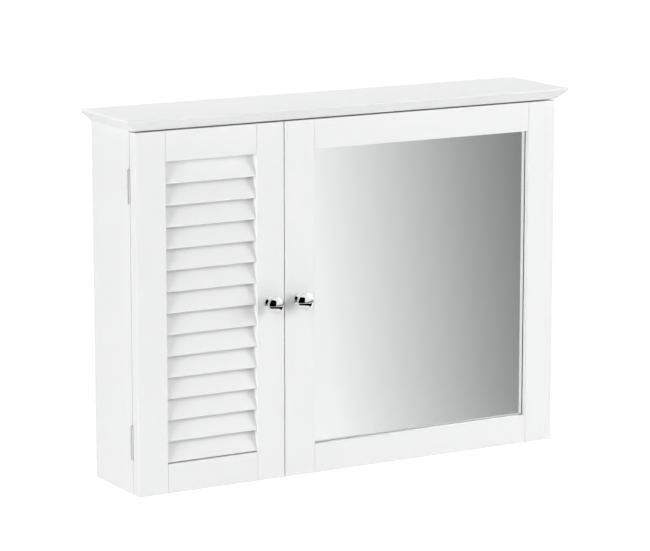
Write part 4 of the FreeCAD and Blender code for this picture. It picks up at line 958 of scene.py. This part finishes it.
def make_floor():
    material, tree, shader = new_material("paper_floor")
    shader.inputs["Base Color"].default_value = FLOOR_PAPER
    shader.inputs["Roughness"].default_value = 0.9
    shader.inputs["Specular IOR Level"].default_value = 0.0
    shader.inputs["Emission Color"].default_value = WHITE
    path = add(tree, "ShaderNodeLightPath").outputs
    seen = math_node(tree, "MULTIPLY", path["Is Camera Ray"], FLOOR_GLOW)
    in_glass = math_node(tree, "MULTIPLY", path["Is Transmission Ray"], GLASS_GLOW)
    in_chrome = math_node(tree, "MULTIPLY", path["Is Glossy Ray"], CHROME_GLOW)
    mirrored = math_node(tree, "MAXIMUM", in_glass, in_chrome)
    tree.links.new(math_node(tree, "MAXIMUM", seen, mirrored), shader.inputs["Emission Strength"])
    from_below = add(tree, "ShaderNodeNewGeometry").outputs["Backfacing"]
    tree.links.new(math_node(tree, "SUBTRACT", 1.0, from_below), shader.inputs["Alpha"])
    corners = [(x * FLOOR_HALF, y * FLOOR_HALF, FLOOR_Z) for x, y in ((-1, -1), (1, -1), (1, 1), (-1, 1))]
    floor = bpy.data.objects.new("floor", flat_mesh("floor", corners, material))
    scene.collection.objects.link(floor)


def make_sky():
    world = bpy.data.worlds.new("soft_sky")
    world.use_nodes = True
    tree = world.node_tree
    path = add(tree, "ShaderNodeLightPath").outputs
    mirrored = math_node(tree, "MAXIMUM", path["Is Glossy Ray"], path["Is Transmission Ray"])
    seen = math_node(tree, "MAXIMUM", path["Is Camera Ray"], mirrored)
    background = tree.nodes["Background"]
    tree.links.new(value_range(tree, seen, SKY_LIGHT, 1.0), background.inputs["Strength"])
    background.inputs["Color"].default_value = WHITE
    scene.world = world


make_floor()
make_sky()
print("floor at", FLOOR_Z, "sky", SKY_LIGHT)

# %% [markdown]
# ## The lamps
# The picture is almost free of shadows. Two large round lamps at about the cabinet's own
# height do most of it, one from each side. A weaker one higher on the left softens them,
# one behind the cabinet lights its top board, and a small one from below lights the slope
# under the crown. Each is placed by its bearing, its height angle and its distance. They
# are hidden from chrome, which has cards of its own to reflect.

# %% Lamps
CABINET_MIDDLE = Vector((0, -0.07, -0.2))


def towards(bearing, height):
    """The direction from the cabinet at a bearing from straight ahead, left negative, in degrees."""
    turn, rise = math.radians(bearing), math.radians(height)
    return Vector((math.sin(turn) * math.cos(rise), -math.cos(turn) * math.cos(rise), math.sin(rise)))


def soft_lamp(name, bearing, height, distance, size, power):
    lamp = bpy.data.lights.new(name, "AREA")
    lamp.shape = "DISK"
    lamp.size = size
    lamp.energy = power
    lamp_object = bpy.data.objects.new(name, lamp)
    direction = towards(bearing, height)
    lamp_object.location = CABINET_MIDDLE + direction * distance
    lamp_object.rotation_euler = (-direction).to_track_quat("-Z", "Y").to_euler()
    lamp_object.visible_glossy = False
    scene.collection.objects.link(lamp_object)
    print(name, power, "W")


soft_lamp("right_lamp", bearing=50, height=12, distance=4.0, size=2.8, power=110)
soft_lamp("left_lamp", bearing=-71, height=8, distance=4.0, size=1.6, power=93)
soft_lamp("high_left_lamp", bearing=-60, height=35, distance=4.0, size=2.4, power=13)
soft_lamp("back_lamp", bearing=180, height=65, distance=3.0, size=1.6, power=50)
soft_lamp("low_lamp", bearing=5, height=-36, distance=1.7, size=1.2, power=1.8)

# %% [markdown]
# ## Cards for the reflections
# A mirror and chrome only look right when they have something to reflect, and studios hang
# cards for that. A card here is a flat face with a plain glow. It is seen in reflections
# only, either by the metals or through the mirror's glass, and casts no shadow.

# %% Card makers
def glow(name, colour, strength=1.0):
    """A material that only glows; returns it with its tree and its light."""
    material = bpy.data.materials.new(name)
    material.use_nodes = True
    tree = material.node_tree
    tree.nodes.remove(tree.nodes["Principled BSDF"])
    light = add(tree, "ShaderNodeEmission", {"Color": colour, "Strength": strength})
    tree.links.new(light.outputs[0], tree.nodes["Material Output"].inputs["Surface"])
    return material, tree, light


def hang(name, mesh, for_metal):
    """Links a card that casts no shadow and that only metal, or only the glass, reflects."""
    card = bpy.data.objects.new(name, mesh)
    scene.collection.objects.link(card)
    card.visible_camera = False
    card.visible_diffuse = False
    card.visible_shadow = False
    card.visible_glossy = for_metal
    card.visible_transmission = not for_metal
    print("card:", name)


def make_card(name, middle, facing, material, width, height, for_metal):
    """A flat card round a middle, turned to face a point, with UVs from -0.5 to 0.5."""
    normal = (facing - middle).normalized()
    across = Vector((0, 0, 1)).cross(normal).normalized()
    up = normal.cross(across)
    sides = [(-0.5, -0.5), (0.5, -0.5), (0.5, 0.5), (-0.5, 0.5)]
    corners = [middle + across * (x * width) + up * (y * height) for x, y in sides]
    mesh = flat_mesh(name, corners, material)
    layer = mesh.uv_layers.new(name="card")
    for loop, side in zip(layer.data, sides):
        loop.uv = side
    hang(name, mesh, for_metal)


print("card makers:", glow.__name__, hang.__name__, make_card.__name__)

# %% [markdown]
# The mirror in the picture fades from white on its left to grey on its right. So the card
# that it reflects hangs where the camera's sight bounces to, and carries a slanted ramp of
# greys: each stop is a place across the card and a brightness.

# %% Card for the mirror
CARD_FADE = ((0.24, 0.237), (0.289, 0.283), (0.38, 0.40), (0.475, 0.548), (0.57, 0.704),
             (0.667, 0.872), (0.71, 0.945))
CARD_SLANT = math.radians(8.5)
CARD_DISTANCE = 2.4
CARD_WIDTH, CARD_HEIGHT = 1.0, 1.3


def fading_grey():
    material, tree, light = glow("fading_grey", WHITE)
    place = add(tree, "ShaderNodeTexCoord").outputs["UV"]
    turned = add(tree, "ShaderNodeMapping", {"Vector": place, "Rotation": (0, 0, CARD_SLANT)})
    along = add(tree, "ShaderNodeSeparateXYZ", {"Vector": turned.outputs[0]}).outputs["X"]
    ramp = add(tree, "ShaderNodeValToRGB", {"Fac": math_node(tree, "ADD", along, 0.5)})
    stops = ramp.color_ramp.elements
    stops.remove(stops[0])
    stops[0].position = CARD_FADE[0][0]
    for position, grey in CARD_FADE[1:]:
        stops.new(position)
    for stop, (position, grey) in zip(stops, CARD_FADE):
        stop.color = (grey, grey, grey, 1)
    tree.links.new(ramp.outputs["Color"], light.inputs["Color"])
    return material


MIRROR_MIDDLE = Vector([(a + b) / 2 for a, b in zip(*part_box("mirror_glass"))])
sight = MIRROR_MIDDLE - Vector(EYE)
bounce = Vector((sight.x, -sight.y, sight.z)).normalized()
make_card("grey_card", MIRROR_MIDDLE + bounce * CARD_DISTANCE, MIRROR_MIDDLE, fading_grey(),
          CARD_WIDTH, CARD_HEIGHT, for_metal=False)

# %% [markdown]
# The knobs need dark shapes and one highlight: a black card close by, a black rug on the
# floor and a large white card high on the right. The two hinges on the left would mirror
# the dark ones and turn grey, so each has a small white card of its own.

# %% Cards for the metals
KNOBS_MIDDLE = Vector((-0.105, -0.15, -0.214))
RUG_BEARINGS = (-75, 105)
RUG_REACH = (1.4, 3.3)
RUG_STEPS = 20
RUG_LIFT = 2 * MM
HINGE_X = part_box("hinge_pins")[0].x
HINGE_Y = -0.112
HINGE_LEVELS = (-0.043, -0.384)


def metal_card(name, target, material, bearing, rise, distance, width, height):
    """A card for the metals that faces a target from a bearing, a height angle and a distance."""
    middle = target + towards(bearing, rise) * distance
    make_card(name, middle, target, material, width, height, for_metal=True)


def make_rug(name, material):
    """A sector of a flat ring just above the floor."""
    first, last = RUG_BEARINGS
    bearings = [first + (last - first) * step / RUG_STEPS for step in range(RUG_STEPS + 1)]
    points = [KNOBS_MIDDLE + towards(bearing, 0) * distance for bearing in bearings for distance in RUG_REACH]
    for point in points:
        point.z = FLOOR_Z + RUG_LIFT
    mesh = bpy.data.meshes.new(name)
    mesh.from_pydata(points, [], [(i, i + 1, i + 3, i + 2) for i in range(0, 2 * RUG_STEPS, 2)])
    mesh.materials.append(material)
    hang(name, mesh, for_metal=True)


black = glow("black_card", (0, 0, 0, 1))[0]
bright = glow("white_card", WHITE, strength=1.4)[0]
hinge_white = glow("hinge_card", WHITE, strength=1.15)[0]
metal_card("black_card", KNOBS_MIDDLE, black, bearing=-40, rise=19, distance=0.35, width=0.56, height=0.47)
metal_card("white_card", KNOBS_MIDDLE, bright, bearing=85, rise=35, distance=3.0, width=3.0, height=2.0)
make_rug("black_rug", black)
for level in HINGE_LEVELS:
    hinge = Vector((HINGE_X, HINGE_Y, level))
    metal_card("hinge_card", hinge, hinge_white, bearing=-30, rise=-10, distance=0.1, width=0.14, height=0.1)
